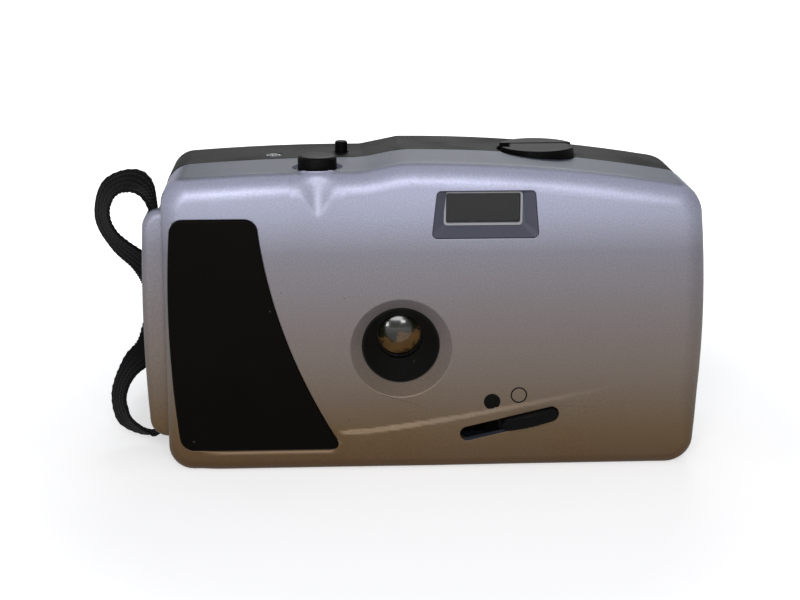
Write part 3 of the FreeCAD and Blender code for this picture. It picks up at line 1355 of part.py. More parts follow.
def strap():
    stations, length = strap_stations()
    sections = []
    for place, way, side in stations:
        across = (side - way * side.dot(way)).normalize() * (sheet.strap_width / 2)
        up = way.cross(across).normalize() * (sheet.strap_thick / 2)
        corners = [place + across + up, place - across + up, place - across - up, place + across - up]
        sections.append(Part.makePolygon(corners + corners[:1]))
    band = Part.makeLoft(sections, True, True)
    print("strap: volume %.0f, section by length %.0f" % (band.Volume, sheet.strap_width * sheet.strap_thick * length))
    return band


node(form("webbing", strap()), "wrist_strap")

doc.recompute()


def report_state():
    for made in doc.Objects:
        if "Invalid" in made.State or "Error" in made.State:
            raise RuntimeError("%s failed: %s" % (made.Name, made.State))
    for made in nodes:
        if made.Shape.isNull() or not made.Shape.isValid():
            raise RuntimeError("%s has no sound shape" % made.Label)


report_state()
os.makedirs("parts", exist_ok=True)
for made in nodes:
    made.Shape.exportStep(os.path.join("parts", made.Label + ".step"))
    print("%-22s %2d solids %9.1f mm3" % (made.Label, len(made.Shape.Solids), made.Shape.Volume))
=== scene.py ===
import math

import bmesh
import bpy
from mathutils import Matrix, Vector


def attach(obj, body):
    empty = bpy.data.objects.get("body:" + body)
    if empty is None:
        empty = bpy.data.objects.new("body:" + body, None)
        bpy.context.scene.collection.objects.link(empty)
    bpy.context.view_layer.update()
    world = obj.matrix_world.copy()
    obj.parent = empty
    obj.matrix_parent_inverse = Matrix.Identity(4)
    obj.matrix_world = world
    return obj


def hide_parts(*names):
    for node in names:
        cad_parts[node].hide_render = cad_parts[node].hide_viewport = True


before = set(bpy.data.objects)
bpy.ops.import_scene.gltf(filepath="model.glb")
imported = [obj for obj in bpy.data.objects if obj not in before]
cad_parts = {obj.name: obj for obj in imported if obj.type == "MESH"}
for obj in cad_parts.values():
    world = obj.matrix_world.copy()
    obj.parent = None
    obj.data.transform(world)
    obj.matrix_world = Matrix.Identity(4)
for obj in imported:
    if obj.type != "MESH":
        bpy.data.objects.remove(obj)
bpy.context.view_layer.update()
MM = 0.001
CASE_HEIGHT = 68.5
scene = bpy.context.scene
scene.view_settings.view_transform = "Standard"


def mm(*values):
    return tuple(value * MM for value in values)


# Camera, at the photograph's angle

eye = bpy.data.cameras.new("viewpoint")
eye.lens = 73.0
eye.sensor_width = 36.0
eye.clip_start = 0.01
camera = bpy.data.objects.new("viewpoint", eye)
camera.location = mm(-21.38, -356.12, 135.53)
camera.rotation_euler = (math.radians(74.0), 0.0, math.radians(-2.5))
scene.collection.objects.link(camera)
scene.camera = camera


# Materials


def linear(level):
    level = level / 255
    return level / 12.92 if level <= 0.04045 else ((level + 0.055) / 1.055) ** 2.4


def tint(red, green, blue):
    return (linear(red), linear(green), linear(blue), 1.0)


def new_group(name, inputs, outputs):
    """Empty shader group with its named inputs and outputs."""
    group = bpy.data.node_groups.new(name, "ShaderNodeTree")
    for label, kind, default in inputs:
        socket = group.interface.new_socket(name=label, in_out="INPUT", socket_type="NodeSocket" + kind)
        socket.default_value = default
    for label, kind in outputs:
        group.interface.new_socket(name=label, in_out="OUTPUT", socket_type="NodeSocket" + kind)
    return group, group.nodes.new("NodeGroupInput"), group.nodes.new("NodeGroupOutput")


def noise(tree, scale, detail=2.0, rough=0.5):
    node = tree.nodes.new("ShaderNodeTexNoise")
    node.inputs["Scale"].default_value = scale
    node.inputs["Detail"].default_value = detail
    node.inputs["Roughness"].default_value = rough
    return node


def sums(tree, kind, first=None, second=None):
    """Math node with numbers or sockets on its two inputs."""
    node = tree.nodes.new("ShaderNodeMath")
    node.operation = kind
    for index, value in enumerate((first, second)):
        if value is None:
            continue
        if isinstance(value, (int, float)):
            node.inputs[index].default_value = value
        else:
            tree.links.new(value, node.inputs[index])
    return node.outputs[0]


def ranged(tree, value, low, high, to_low=0.0, to_high=1.0, smooth=False):
    node = tree.nodes.new("ShaderNodeMapRange")
    if smooth:
        node.interpolation_type = "SMOOTHSTEP"
    node.inputs["From Min"].default_value = low
    node.inputs["From Max"].default_value = high
    node.inputs["To Min"].default_value = to_low
    node.inputs["To Max"].default_value = to_high
    tree.links.new(value, node.inputs["Value"])
    return node.outputs["Result"]


def mixed(tree, share, first, second, kind="MIX"):
    """Colour mix; each colour is a socket or four numbers."""
    node = tree.nodes.new("ShaderNodeMix")
    node.data_type = "RGBA"
    node.blend_type = kind
    for socket, value in ((node.inputs[0], share), (node.inputs[6], first), (node.inputs[7], second)):
        if hasattr(value, "is_linked"):
            tree.links.new(value, socket)
        else:
            socket.default_value = value
    return node.outputs[2]


def banded(tree, value, bands):
    """Colour ramp over (position, colour) bands, from the first to the last."""
    ramp = tree.nodes.new("ShaderNodeValToRGB")
    first, last = ramp.color_ramp.elements
    first.position, first.color = bands[0]
    last.position, last.color = bands[-1]
    for position, colour in bands[1:-1]:
        ramp.color_ramp.elements.new(position).color = colour
    tree.links.new(value, ramp.inputs["Fac"])
    return ramp.outputs["Color"]


def moulded_grain():
    """Fine spark-eroded grain of a moulded or painted surface."""
    group, given, result = new_group(
        "moulded_grain",
        [("Size", "Float", 3000.0), ("Depth", "Float", 0.1)],
        [("Grain", "Float"), ("Normal", "Vector")],
    )
    place = group.nodes.new("ShaderNodeTexCoord")
    fine = noise(group, 3000.0, 3.0, 0.6)
    group.links.new(place.outputs["Object"], fine.inputs["Vector"])
    group.links.new(given.outputs["Size"], fine.inputs["Scale"])
    bump = group.nodes.new("ShaderNodeBump")
    bump.inputs["Distance"].default_value = 0.0001
    group.links.new(given.outputs["Depth"], bump.inputs["Strength"])
    group.links.new(fine.outputs["Fac"], bump.inputs["Height"])
    group.links.new(fine.outputs["Fac"], result.inputs["Grain"])
    group.links.new(bump.outputs["Normal"], result.inputs["Normal"])
    return group


def handling():
    """Smudges in broad patches, and stray specks of dust."""
    group, given, result = new_group(
        "handling",
        [("Patch", "Float", 40.0), ("Speck", "Float", 260.0), ("Specks", "Float", 0.06)],
        [("Smudge", "Float"), ("Dust", "Float")],
    )
    place = group.nodes.new("ShaderNodeTexCoord")
    broad = noise(group, 40.0, 4.0, 0.55)
    group.links.new(place.outputs["Object"], broad.inputs["Vector"])
    group.links.new(given.outputs["Patch"], broad.inputs["Scale"])
    smudge = ranged(group, broad.outputs["Fac"], 0.4, 0.68, smooth=True)
    cells = group.nodes.new("ShaderNodeTexVoronoi")
    cells.inputs["Randomness"].default_value = 1.0
    group.links.new(place.outputs["Object"], cells.inputs["Vector"])
    group.links.new(given.outputs["Speck"], cells.inputs["Scale"])
    near = sums(group, "LESS_THAN", cells.outputs["Distance"], given.outputs["Specks"])
    patchy = noise(group, 90.0, 1.0)
    group.links.new(place.outputs["Object"], patchy.inputs["Vector"])
    some = ranged(group, patchy.outputs["Fac"], 0.5, 0.6)
    dust = sums(group, "MULTIPLY", near, some)
    group.links.new(smudge, result.inputs["Smudge"])
    group.links.new(dust, result.inputs["Dust"])
    return group


GRAIN = moulded_grain()
HANDLING = handling()


def use(tree, group, **values):
    node = tree.nodes.new("ShaderNodeGroup")
    node.node_tree = group
    for name, value in values.items():
        node.inputs[name].default_value = value
    return node


def new_material(name, rough, metal=0.0, **sockets):
    """Material with one Principled shader and its plain values."""
    material = bpy.data.materials.new(name)
    material.use_nodes = True
    tree = material.node_tree
    shader = tree.nodes["Principled BSDF"]
    shader.inputs["Roughness"].default_value = rough
    shader.inputs["Metallic"].default_value = metal
    for label, value in sockets.items():
        shader.inputs[label.replace("_", " ")].default_value = value
    return material, tree, shader


def silver_lacquer_painted_light():
    """Metallic lacquer with fine flake, and with painted light: a painted reflection that is cool high up
    and warm and dull at the base, and painted shade on the faces that turn up.
    """
    material, tree, shader = new_material("silver_lacquer_painted_light", 0.48, 0.36, Coat_Weight=0.05, Coat_Roughness=0.3)
    grain = use(tree, GRAIN, Size=2600.0, Depth=0.12)
    worn = use(tree, HANDLING, Patch=28.0, Speck=170.0, Specks=0.035)
    place = tree.nodes.new("ShaderNodeTexCoord")
    split = tree.nodes.new("ShaderNodeSeparateXYZ")
    tree.links.new(place.outputs["Object"], split.inputs[0])
    height = ranged(tree, split.outputs["Z"], 0.0, CASE_HEIGHT * MM)
    # Colour by height is a painted reflection: warm brown at the base, cool blue high up.
    bands = ((0.0, tint(82, 56, 27)), (0.13, tint(96, 74, 44)), (0.32, tint(112, 100, 90)),
             (0.53, tint(120, 112, 112)), (0.72, tint(126, 124, 133)), (0.83, tint(154, 156, 174)),
             (0.9, tint(166, 168, 190)), (1.0, tint(172, 174, 198)))
    # Faces that turn up are given painted shade.
    facing = tree.nodes.new("ShaderNodeSeparateXYZ")
    tree.links.new(place.outputs["Normal"], facing.inputs[0])
    painted_top_shade = ranged(tree, facing.outputs["Z"], 0.84, 0.995, smooth=True)
    painted_light_colour = mixed(tree, painted_top_shade, banded(tree, height, bands), tint(70, 78, 92))
    flake = ranged(tree, grain.outputs["Grain"], 0.3, 0.7, 0.86, 1.12)
    flaked = tree.nodes.new("ShaderNodeVectorMath")
    flaked.operation = "SCALE"
    tree.links.new(painted_light_colour, flaked.inputs[0])
    tree.links.new(flake, flaked.inputs["Scale"])
    smudged = mixed(tree, sums(tree, "MULTIPLY", worn.outputs["Smudge"], 0.10), flaked.outputs[0],
                    tint(104, 96, 88))
    marked = mixed(tree, worn.outputs["Dust"], smudged, tint(70, 60, 52))
    tree.links.new(marked, shader.inputs["Base Color"])
    rough = ranged(tree, worn.outputs["Smudge"], 0.0, 1.0, 0.44, 0.52)
    tree.links.new(rough, shader.inputs["Roughness"])
    tree.links.new(grain.outputs["Normal"], shader.inputs["Normal"])
    return material


def black_plastic(name, colour, rough, size, depth, worn_colour, gloss=0.3):
    """Moulded plastic with its grain, smudges and a little dust."""
    material, tree, shader = new_material(name, rough, Specular_IOR_Level=gloss)
    grain = use(tree, GRAIN, Size=size, Depth=depth)
    worn = use(tree, HANDLING, Patch=45.0, Speck=300.0, Specks=0.05)
    shade = ranged(tree, grain.outputs["Grain"], 0.3, 0.7, 0.0, 0.25)
    grained = mixed(tree, shade, colour, worn_colour)
    dusty = mixed(tree, sums(tree, "MULTIPLY", worn.outputs["Dust"], 0.35), grained, tint(120, 116, 108))
    tree.links.new(dusty, shader.inputs["Base Color"])
    tree.links.new(ranged(tree, worn.outputs["Smudge"], 0.0, 1.0, rough - 0.05, rough + 0.1),
                   shader.inputs["Roughness"])
    tree.links.new(grain.outputs["Normal"], shader.inputs["Normal"])
    return material


def bare_metal(name, colour, rough, darker=0.7):
    """Sheet or turned metal with fine rolling marks."""
    material, tree, shader = new_material(name, rough, 1.0)
    grain = use(tree, GRAIN, Size=1800.0, Depth=0.05)
    dark = tuple(value * darker for value in colour[:3]) + (1.0,)
    tree.links.new(mixed(tree, grain.outputs["Grain"], colour, dark), shader.inputs["Base Color"])
    tree.links.new(ranged(tree, grain.outputs["Grain"], 0.2, 0.8, rough - 0.08, rough + 0.1),
                   shader.inputs["Roughness"])
    return material


def clear_pane(name, colour, rough=0.03):
    """Moulded plastic pane, clear or tinted dark, with faint smears; the dark tint on the finder window is
    painted shade.
    """
    material, tree, shader = new_material(name, rough, 0.0, Transmission_Weight=1.0, IOR=1.49,
                                          Specular_IOR_Level=0.0)
    shader.inputs["Base Color"].default_value = colour
    worn = use(tree, HANDLING, Patch=120.0, Speck=500.0, Specks=0.04)
    tree.links.new(ranged(tree, worn.outputs["Smudge"], 0.0, 1.0, rough, rough + 0.05),
                   shader.inputs["Roughness"])
    return material


def foam_rubber():
    material, tree, shader = new_material("foam_rubber", 0.95)
    grain = use(tree, GRAIN, Size=1500.0, Depth=0.8)
    tree.links.new(mixed(tree, grain.outputs["Grain"], tint(10, 10, 10), tint(34, 33, 32)),
                   shader.inputs["Base Color"])
    tree.links.new(grain.outputs["Normal"], shader.inputs["Normal"])
    return material


SILVER_PAINTED_LIGHT = silver_lacquer_painted_light()
CASE_BLACK = black_plastic("case_black", tint(17, 18, 15), 0.5, 3200.0, 0.35, tint(33, 34, 31), 0.05)
GRIP_BLACK = black_plastic("grip_black", tint(7, 6, 4), 0.34, 4200.0, 0.10, tint(13, 12, 9), 0.04)
BUTTON_BLACK = black_plastic("button_black", tint(11, 10, 10), 0.33, 3600.0, 0.12, tint(20, 19, 19), 0.06)
INNER_BLACK = black_plastic("inner_black", tint(9, 9, 8), 0.5, 2500.0, 0.35, tint(18, 18, 16), 0.10)
FINDER_BLACK = black_plastic("finder_black", tint(5, 5, 5), 0.8, 2500.0, 0.2, tint(9, 9, 9), 0.0)
BEZEL_GREY = black_plastic("bezel_grey", tint(76, 78, 90), 0.45, 3000.0, 0.15, tint(94, 96, 108))
RIM_GREY = black_plastic("rim_grey", tint(150, 150, 154), 0.4, 3000.0, 0.1, tint(176, 176, 180))
AMBER = black_plastic("amber_plastic", tint(196, 128, 84), 0.4, 3000.0, 0.1, tint(160, 90, 52))
INK = black_plastic("mark_ink", tint(12, 12, 11), 0.6, 4200.0, 0.2, tint(24, 23, 22), 0.04)
WHITE_PLASTIC = black_plastic("dial_white", tint(222, 220, 212), 0.4, 2500.0, 0.1, tint(232, 231, 226))
STEEL = bare_metal("spring_steel", (0.56, 0.56, 0.55, 1.0), 0.32)
RING_BLACK = bare_metal("anodised_black", (0.03, 0.032, 0.034, 1.0), 0.28)
DARK_STEEL = bare_metal("blackened_steel", (0.06, 0.06, 0.065, 1.0), 0.5)
PANE = clear_pane("finder_pane", (0.86, 0.88, 0.9, 1.0))
# Viewfinder window tinted nearly black: painted shade standing in for the dark inside of the finder.
FINDER_PANE_PAINTED_SHADE = clear_pane("finder_pane_painted_shade", (0.03, 0.031, 0.033, 1.0))
FOAM = foam_rubber()


def glass_painted_reflection():
    """Front lens with a painted reflection: deep green-black above and warm amber below, with a swirled edge
    between them.
    """
    material, tree, shader = new_material("glass_painted_reflection", 0.16, 0.0, IOR=1.52,
                                          Coat_Weight=0.4, Coat_Roughness=0.11)
    place = tree.nodes.new("ShaderNodeTexCoord")
    split = tree.nodes.new("ShaderNodeSeparateXYZ")
    tree.links.new(place.outputs["Object"], split.inputs[0])
    swirl = noise(tree, 420.0, 3.0, 0.6)
    tree.links.new(place.outputs["Object"], swirl.inputs["Vector"])
    sway = ranged(tree, swirl.outputs["Fac"], 0.3, 0.7, -0.0016, 0.0016)
    lean = sums(tree, "MULTIPLY", split.outputs["X"], -0.25)
    level = sums(tree, "ADD", sums(tree, "ADD", split.outputs["Z"], sway), lean)
    # Painted reflection: the amber below and the green-black above stand in for the surroundings mirrored in
    # the glass.
    painted_reflection_stops = ((0.0, tint(46, 38, 22)), (0.22, tint(104, 76, 44)), (0.42, tint(88, 66, 40)),
             (0.50, tint(30, 28, 14)), (0.75, tint(20, 22, 12)), (1.0, tint(5, 5, 4)))
    tree.links.new(banded(tree, ranged(tree, level, 0.0245, 0.0345), painted_reflection_stops), shader.inputs["Base Color"])
    return material


def woven_webbing():
    """Black nylon webbing: twill over its warp cords, read from the strap's own map."""
    material, tree, shader = new_material("woven_webbing", 0.72, Specular_IOR_Level=0.08, Sheen_Weight=0.03)
    place = tree.nodes.new("ShaderNodeUVMap")
    place.uv_map = "weave"
    split = tree.nodes.new("ShaderNodeSeparateXYZ")
    tree.links.new(place.outputs["UV"], split.inputs[0])
    along = sums(tree, "MULTIPLY", split.outputs["X"], 2 * math.pi / 0.75)
    across = sums(tree, "MULTIPLY", split.outputs["Y"], 2 * math.pi / 1.3)
    twill = sums(tree, "SINE", sums(tree, "ADD", along, across))
    cords = sums(tree, "SINE", sums(tree, "MULTIPLY", split.outputs["Y"], 2 * math.pi / 0.32))
    fuzz = use(tree, GRAIN, Size=2400.0, Depth=0.4)
    woven = sums(tree, "MULTIPLY_ADD", cords, 0.35)
    woven.node.inputs[2].default_value = 0.0
    tree.links.new(twill, woven.node.inputs[2])
    height = ranged(tree, woven, -1.3, 1.3)
    shade = mixed(tree, height, tint(4, 4, 4), tint(20, 20, 21))
    tree.links.new(mixed(tree, sums(tree, "MULTIPLY", fuzz.outputs["Grain"], 0.25), shade, tint(12, 12, 12)),
                   shader.inputs["Base Color"])
    bump = tree.nodes.new("ShaderNodeBump")
    bump.inputs["Strength"].default_value = 0.7
    bump.inputs["Distance"].default_value = 0.00012
    tree.links.new(height, bump.inputs["Height"])
    tree.links.new(fuzz.outputs["Normal"], bump.inputs["Normal"])
    tree.links.new(bump.outputs["Normal"], shader.inputs["Normal"])
    return material


LENS_GLASS_PAINTED_REFLECTION = glass_painted_reflection()
WEBBING = woven_webbing()

FINISHES = {
    "silver": SILVER_PAINTED_LIGHT,
    "black_plastic": CASE_BLACK,
    "grip_black": GRIP_BLACK,
    "bezel_grey": BEZEL_GREY,
    "inner_black": INNER_BLACK,
    "button_black": BUTTON_BLACK,
    "window_clear": PANE,
    "lens_glass": PANE,
    "steel": STEEL,
    "blackened_steel": DARK_STEEL,
    "white_plastic": WHITE_PLASTIC,
    "foam": FOAM,
    "webbing": WEBBING,
}

for name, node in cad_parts.items():
    for index, slot in enumerate(node.material_slots):
        word = slot.material.name.split(".")[0] if slot.material else ""
        if word in FINISHES:
            node.data.materials[index] = FINISHES[word]
        else:
            print("no finish for", name, word)

for name, finish in (("viewfinder_housing", FINDER_BLACK), ("viewfinder_window", FINDER_PANE_PAINTED_SHADE),
                     ("lens_retainer", RING_BLACK), ("rewind_release", BUTTON_BLACK)):
    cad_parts[name].data.materials[0] = finish


# Wrist strap: a ribbon of webbing along a smooth route, with the way its width lies at each point (mm)

STRAP_ROUTE = [
    ((-59.85, -5.7, 48.8), (0, 1, 0)),
    ((-59.85, -5.7, 58.4), (0.05, 1, 0.1)),
    ((-64.6, -3.9, 63.4), (0.35, 0.8, 0.5)),
    ((-71.6, -1.2, 60.0), (-0.3, 0.8, 0.5)),
    ((-72.9, 1.6, 51.4), (-0.6, 0.8, 0.0)),
    ((-68.4, 5.2, 44.4), (-0.55, 0.7, -0.45)),
    ((-63.4, 9.4, 39.4), (-0.6, 0.6, -0.55)),
    ((-62.2, 17.0, 33.5), (-0.95, 0.1, -0.25)),
    ((-62.6, 25.5, 27.0), (-1, 0, 0)),
    ((-62.7, 31.5, 17.5), (-1, 0, 0)),
    ((-62.7, 38.0, 8.0), (-1, 0, 0)),
    ((-62.6, 48.0, 0.9), (-1, 0, 0)),
    ((-60.5, 59.0, 0.9), (-0.9, 0.4, 0)),
    ((-52.5, 67.5, 0.9), (-0.45, 0.9, 0)),
    ((-41.0, 68.5, 0.9), (0.2, 1, 0)),
    ((-32.5, 61.0, 0.9), (0.9, 0.4, 0)),
    ((-31.5, 49.5, 0.9), (0.9, -0.4, 0)),
    ((-39.5, 41.5, 0.9), (0.4, -0.9, 0)),
    ((-50.5, 41.0, 0.9), (0, -1, 0)),
    ((-60.2, 38.0, 0.9), (0.5, -0.87, 0)),
    ((-62.6, 29.0, 3.4), (1, 0, 0)),
    ((-62.6, 24.0, 12.5), (1, 0, 0)),
    ((-62.5, 20.0, 21.5), (1, 0, 0)),
    ((-62.0, 13.0, 24.8), (0.9, -0.2, -0.3)),
    ((-63.2, 7.0, 20.6), (0.7, -0.6, -0.38)),
    ((-67.8, 4.2, 17.8), (0.2, -0.85, -0.45)),
    ((-71.0, 0.8, 12.4), (0.53, -0.85, 0.12)),
    ((-70.2, -2.0, 6.8), (0.44, -0.68, 0.5)),
    ((-65.2, -4.6, 4.0), (0, -0.78, 0.5)),
    ((-59.85, -5.7, 4.4), (0, -1, 0)),
    ((-59.85, -5.7, 11.4), (0, -1, 0)),
]
STRAP_WIDTH = 8.0
SCALLOP_STEP = 1.5


def spline_points(route):
    """Points of the smooth line that has the route as its control points, in metres."""
    curve = bpy.data.curves.new("strap_line", "CURVE")
    curve.dimensions = "3D"
    curve.resolution_u = 24
    spline = curve.splines.new("NURBS")
    spline.points.add(len(route) - 1)
    for point, (place, side) in zip(spline.points, route):
        point.co = (*mm(*place), 1.0)
    spline.order_u = 3
    spline.use_endpoint_u = True
    line = bpy.data.objects.new("strap_line", curve)
    scene.collection.objects.link(line)
    bpy.context.view_layer.update()
    mesh = bpy.data.meshes.new_from_object(line)
    found = [vertex.co.copy() for vertex in mesh.vertices]
    bpy.data.objects.remove(line)
    bpy.data.meshes.remove(mesh)
    return found


def even_stations(points, sides, step):
    """Stations at an even step along the line, each with the way its width lies."""
    lengths = [0.0]
    for before, after in zip(points, points[1:]):
        lengths.append(lengths[-1] + (after - before).length)
    total = lengths[-1]
    count = round(total / step)
    found = []
    index = 0
    last = len(points) - 1
    for number in range(count + 1):
        target = total * number / count
        while index < last - 1 and lengths[index + 1] < target:
            index += 1
        share = (target - lengths[index]) / (lengths[index + 1] - lengths[index])
        place = points[index].lerp(points[index + 1], share)
        at = (index + share) / last * (len(sides) - 2)
        place_on_route = min(max(at + 0.5, 0.0), len(sides) - 1.0)
        if at < 0.5:
            place_on_route = at * 2
        elif at > len(sides) - 2.5:
            place_on_route = len(sides) - 1 - (len(sides) - 2 - at) * 2
        low = min(int(place_on_route), len(sides) - 2)
        side = sides[low].lerp(sides[low + 1], place_on_route - low)
        found.append((place, side, target))
    return found, total


def webbing_ring(place, along, side, far, cords=5, fine=4):
    """One section of the webbing: warp cords across it and a scalloped edge."""
    across = (side - along * side.dot(along)).normalized()
    up = along.cross(across).normalized()
    beat = math.cos(2 * math.pi * far / (SCALLOP_STEP * MM))
    half = (STRAP_WIDTH / 2 - 0.12 + 0.12 * beat) * MM
    ring = []
    steps = cords * fine
    for face in (1, -1):
        for step in range(steps + 1):
            share = face * (2 * step / steps - 1)
            cord = abs(math.sin(math.pi * cords * (share + 1) / 2))
            edge = math.sqrt(max(0.0, 1 - abs(share) ** 6))
            tall = (0.36 + 0.18 * cord + 0.04 * beat * face) * edge + 0.02
            ring.append((place + across * (share * half) + up * (face * tall * MM), share))
    return ring


def make_strap():
    points = spline_points(STRAP_ROUTE)
    sides = [Vector(side).normalized() for place, side in STRAP_ROUTE]
    stations, total = even_stations(points, sides, 0.0005)
    mesh = bpy.data.meshes.new("wrist_strap_webbing")
    drawn = bmesh.new()
    map_layer = drawn.loops.layers.uv.new("weave")
    rings = []
    for number, (place, side, far) in enumerate(stations):
        before = stations[max(number - 1, 0)][0]
        after = stations[min(number + 1, len(stations) - 1)][0]
        ring = webbing_ring(place, (after - before).normalized(), side, far)
        rings.append([(drawn.verts.new(co), share, far) for co, share in ring])
    count = len(rings[0])
    for before, after in zip(rings, rings[1:]):
        for index in range(count):
            other = (index + 1) % count
            corners = (before[index], before[other], after[other], after[index])
            face = drawn.faces.new([corner[0] for corner in corners])
            for loop, corner in zip(face.loops, corners):
                loop[map_layer].uv = (corner[2] / MM, corner[1])
    drawn.faces.new([corner[0] for corner in reversed(rings[0])])
    drawn.faces.new([corner[0] for corner in rings[-1]])
    bmesh.ops.recalc_face_normals(drawn, faces=drawn.faces)
    drawn.to_mesh(mesh)
    drawn.free()
    piece = bpy.data.objects.new("wrist_strap_webbing", mesh)
    scene.collection.objects.link(piece)
    mesh.materials.append(WEBBING)
    mesh.shade_smooth()
    return piece, [place for place, side, far in stations[::4]], total


strap, strap_line, strap_length = make_strap()
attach(strap, "case")
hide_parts("wrist_strap")

# Modelling helpers: everything is drawn in millimetres, then brought to metres by settle()


def clear():
    if bpy.context.object and bpy.context.object.mode != "OBJECT":
        bpy.ops.object.mode_set(mode="OBJECT")
    bpy.ops.object.select_all(action="DESELECT")


def only(piece):
    clear()
    piece.select_set(True)
    bpy.context.view_layer.objects.active = piece


def named(name):
    piece = bpy.context.object
    piece.name = name
    piece.data.name = name
    return piece


def editing(piece):
    only(piece)
    bpy.ops.object.mode_set(mode="EDIT")


def pick(piece, kind, test):
    """Select just the faces, edges or vertices of the piece being edited that pass the test."""
    bpy.ops.mesh.select_mode(type=kind)
    bpy.ops.mesh.select_all(action="DESELECT")
    drawn = bmesh.from_edit_mesh(piece.data)
    if kind == "FACE":
        for face in drawn.faces:
            if test(face.calc_center_median(), face.normal):
                face.select_set(True)
    elif kind == "EDGE":
        for edge in drawn.edges:
            if test(edge.verts[0].co, edge.verts[1].co):
                edge.select_set(True)
    else:
        for vertex in drawn.verts:
            if test(vertex.co):
                vertex.select_set(True)
    drawn.select_flush_mode()
    bmesh.update_edit_mesh(piece.data)


def done():
    bpy.ops.object.mode_set(mode="OBJECT")


def outline(name, points, front, back):
    """Flat outline of (x, z) points, drawn out from one depth to another."""
    clear()
    bpy.ops.mesh.primitive_circle_add(vertices=len(points), radius=1.0, fill_type="NGON",
                                      rotation=(math.radians(90), 0, 0))
    piece = named(name)
    bpy.ops.object.transform_apply(location=True, rotation=True, scale=True)
    for vertex, (x, z) in zip(piece.data.vertices, points):
        vertex.co = (x, front, z)
    editing(piece)
    bpy.ops.mesh.select_all(action="SELECT")
    bpy.ops.mesh.extrude_region_move(TRANSFORM_OT_translate={"value": (0, back - front, 0)})
    bpy.ops.mesh.select_all(action="SELECT")
    bpy.ops.mesh.normals_make_consistent(inside=False)
    done()
    return piece


def round_along_y(piece, corners, segments=8):
    """Round the edges that run front to back at each (x, z, radius)."""
    editing(piece)
    for x, z, radius in corners:
        pick(piece, "EDGE", lambda a, b: abs(a.x - x) < 0.02 and abs(b.x - x) < 0.02
             and abs(a.z - z) < 0.02 and abs(b.z - z) < 0.02)
        bpy.ops.mesh.bevel(offset=radius, segments=segments, affect="EDGES", clamp_overlap=False)
    done()


def disc(name, radius, centre, depth, axis="y", facets=96, tip=None):
    """Round cutter or blank: a cylinder, or a cone with its second radius."""
    clear()
    turn = {"y": (math.radians(-90), 0, 0), "z": (0, 0, 0)}[axis]
    if tip is None:
        bpy.ops.mesh.primitive_cylinder_add(vertices=facets, radius=radius, depth=depth, location=centre,
                                            rotation=turn)
    else:
        bpy.ops.mesh.primitive_cone_add(vertices=facets, radius1=radius, radius2=tip, depth=depth,
                                        location=centre, rotation=turn)
    piece = named(name)
    bpy.ops.object.transform_apply(location=True, rotation=True, scale=True)
    return piece


def block(name, low, high):
    clear()
    middle = [(a + b) / 2 for a, b in zip(low, high)]
    bpy.ops.mesh.primitive_cube_add(size=1.0, location=middle, scale=[b - a for a, b in zip(low, high)])
    piece = named(name)
    bpy.ops.object.transform_apply(location=True, rotation=True, scale=True)
    return piece


def apply_modifiers(piece):
    only(piece)
    for modifier in list(piece.modifiers):
        bpy.ops.object.modifier_apply(modifier=modifier.name)


def boolean(piece, tool, kind="DIFFERENCE"):
    modifier = piece.modifiers.new(kind.lower(), "BOOLEAN")
    modifier.operation = kind
    modifier.solver = "EXACT"
    modifier.object = tool
    apply_modifiers(piece)
    bpy.data.objects.remove(tool)


def bevel_by_angle(piece, width, segments=3, angle=30.0):
    modifier = piece.modifiers.new("edge_round", "BEVEL")
    modifier.width = width
    modifier.segments = segments
    modifier.limit_method = "ANGLE"
    modifier.angle_limit = math.radians(angle)
    modifier.use_clamp_overlap = False
    apply_modifiers(piece)


def spun(name, profile, centre, steps=96):
    """Closed profile of (radius, y) points turned about an axis that runs front to back."""
    clear()
    bpy.ops.mesh.primitive_circle_add(vertices=len(profile), radius=1.0, fill_type="NOTHING")
    piece = named(name)
    for vertex, (radius, y) in zip(piece.data.vertices, profile):
        vertex.co = (centre[0] + radius, y, centre[2])
    editing(piece)
    bpy.ops.mesh.select_all(action="SELECT")
    bpy.ops.mesh.spin(steps=steps, angle=math.radians(360), center=centre, axis=(0, 1, 0))
    bpy.ops.mesh.select_all(action="SELECT")
    bpy.ops.mesh.remove_doubles(threshold=0.001)
    bpy.ops.mesh.normals_make_consistent(inside=False)
    done()
    return piece


def settle(piece, material, body, smooth=30.0):
    """Bring a finished piece to metres, shade it, and hang it on its body."""
    for vertex in piece.data.vertices:
        vertex.co *= MM
    only(piece)
    bpy.ops.object.shade_smooth_by_angle(angle=math.radians(smooth))
    flatten = piece.modifiers.new("flat_faces_first", "WEIGHTED_NORMAL")
    flatten.weight = 90
    flatten.keep_sharp = True
    apply_modifiers(piece)
    piece.data.materials.clear()
    piece.data.materials.append(material)
    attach(piece, body)
    return piece


# Front casing

FRONT = -20.0
SEAM = -1.0
WALL = 1.8
LEFT = -57.8
RIGHT = 58.4
LENS = (-6.4, 28.0)
BUTTON = (-24.2, -11.0)
SLIDER = (17.5, 10.4)
SLIDER_SLANT = math.radians(13.0)


def arc(start, middle, end, count):
    """Points after start, to end, on a shallow curve through the middle."""
    found = []
    for number in range(1, count + 1):
        t = number / count
        blend = 4 * t * (1 - t)
        chord = [a + (b - a) * t for a, b in zip(start, end)]
        lift = [m - (a + b) / 2 for a, m, b in zip(start, middle, end)]
        found.append(tuple(c + u * blend for c, u in zip(chord, lift)))
    return found


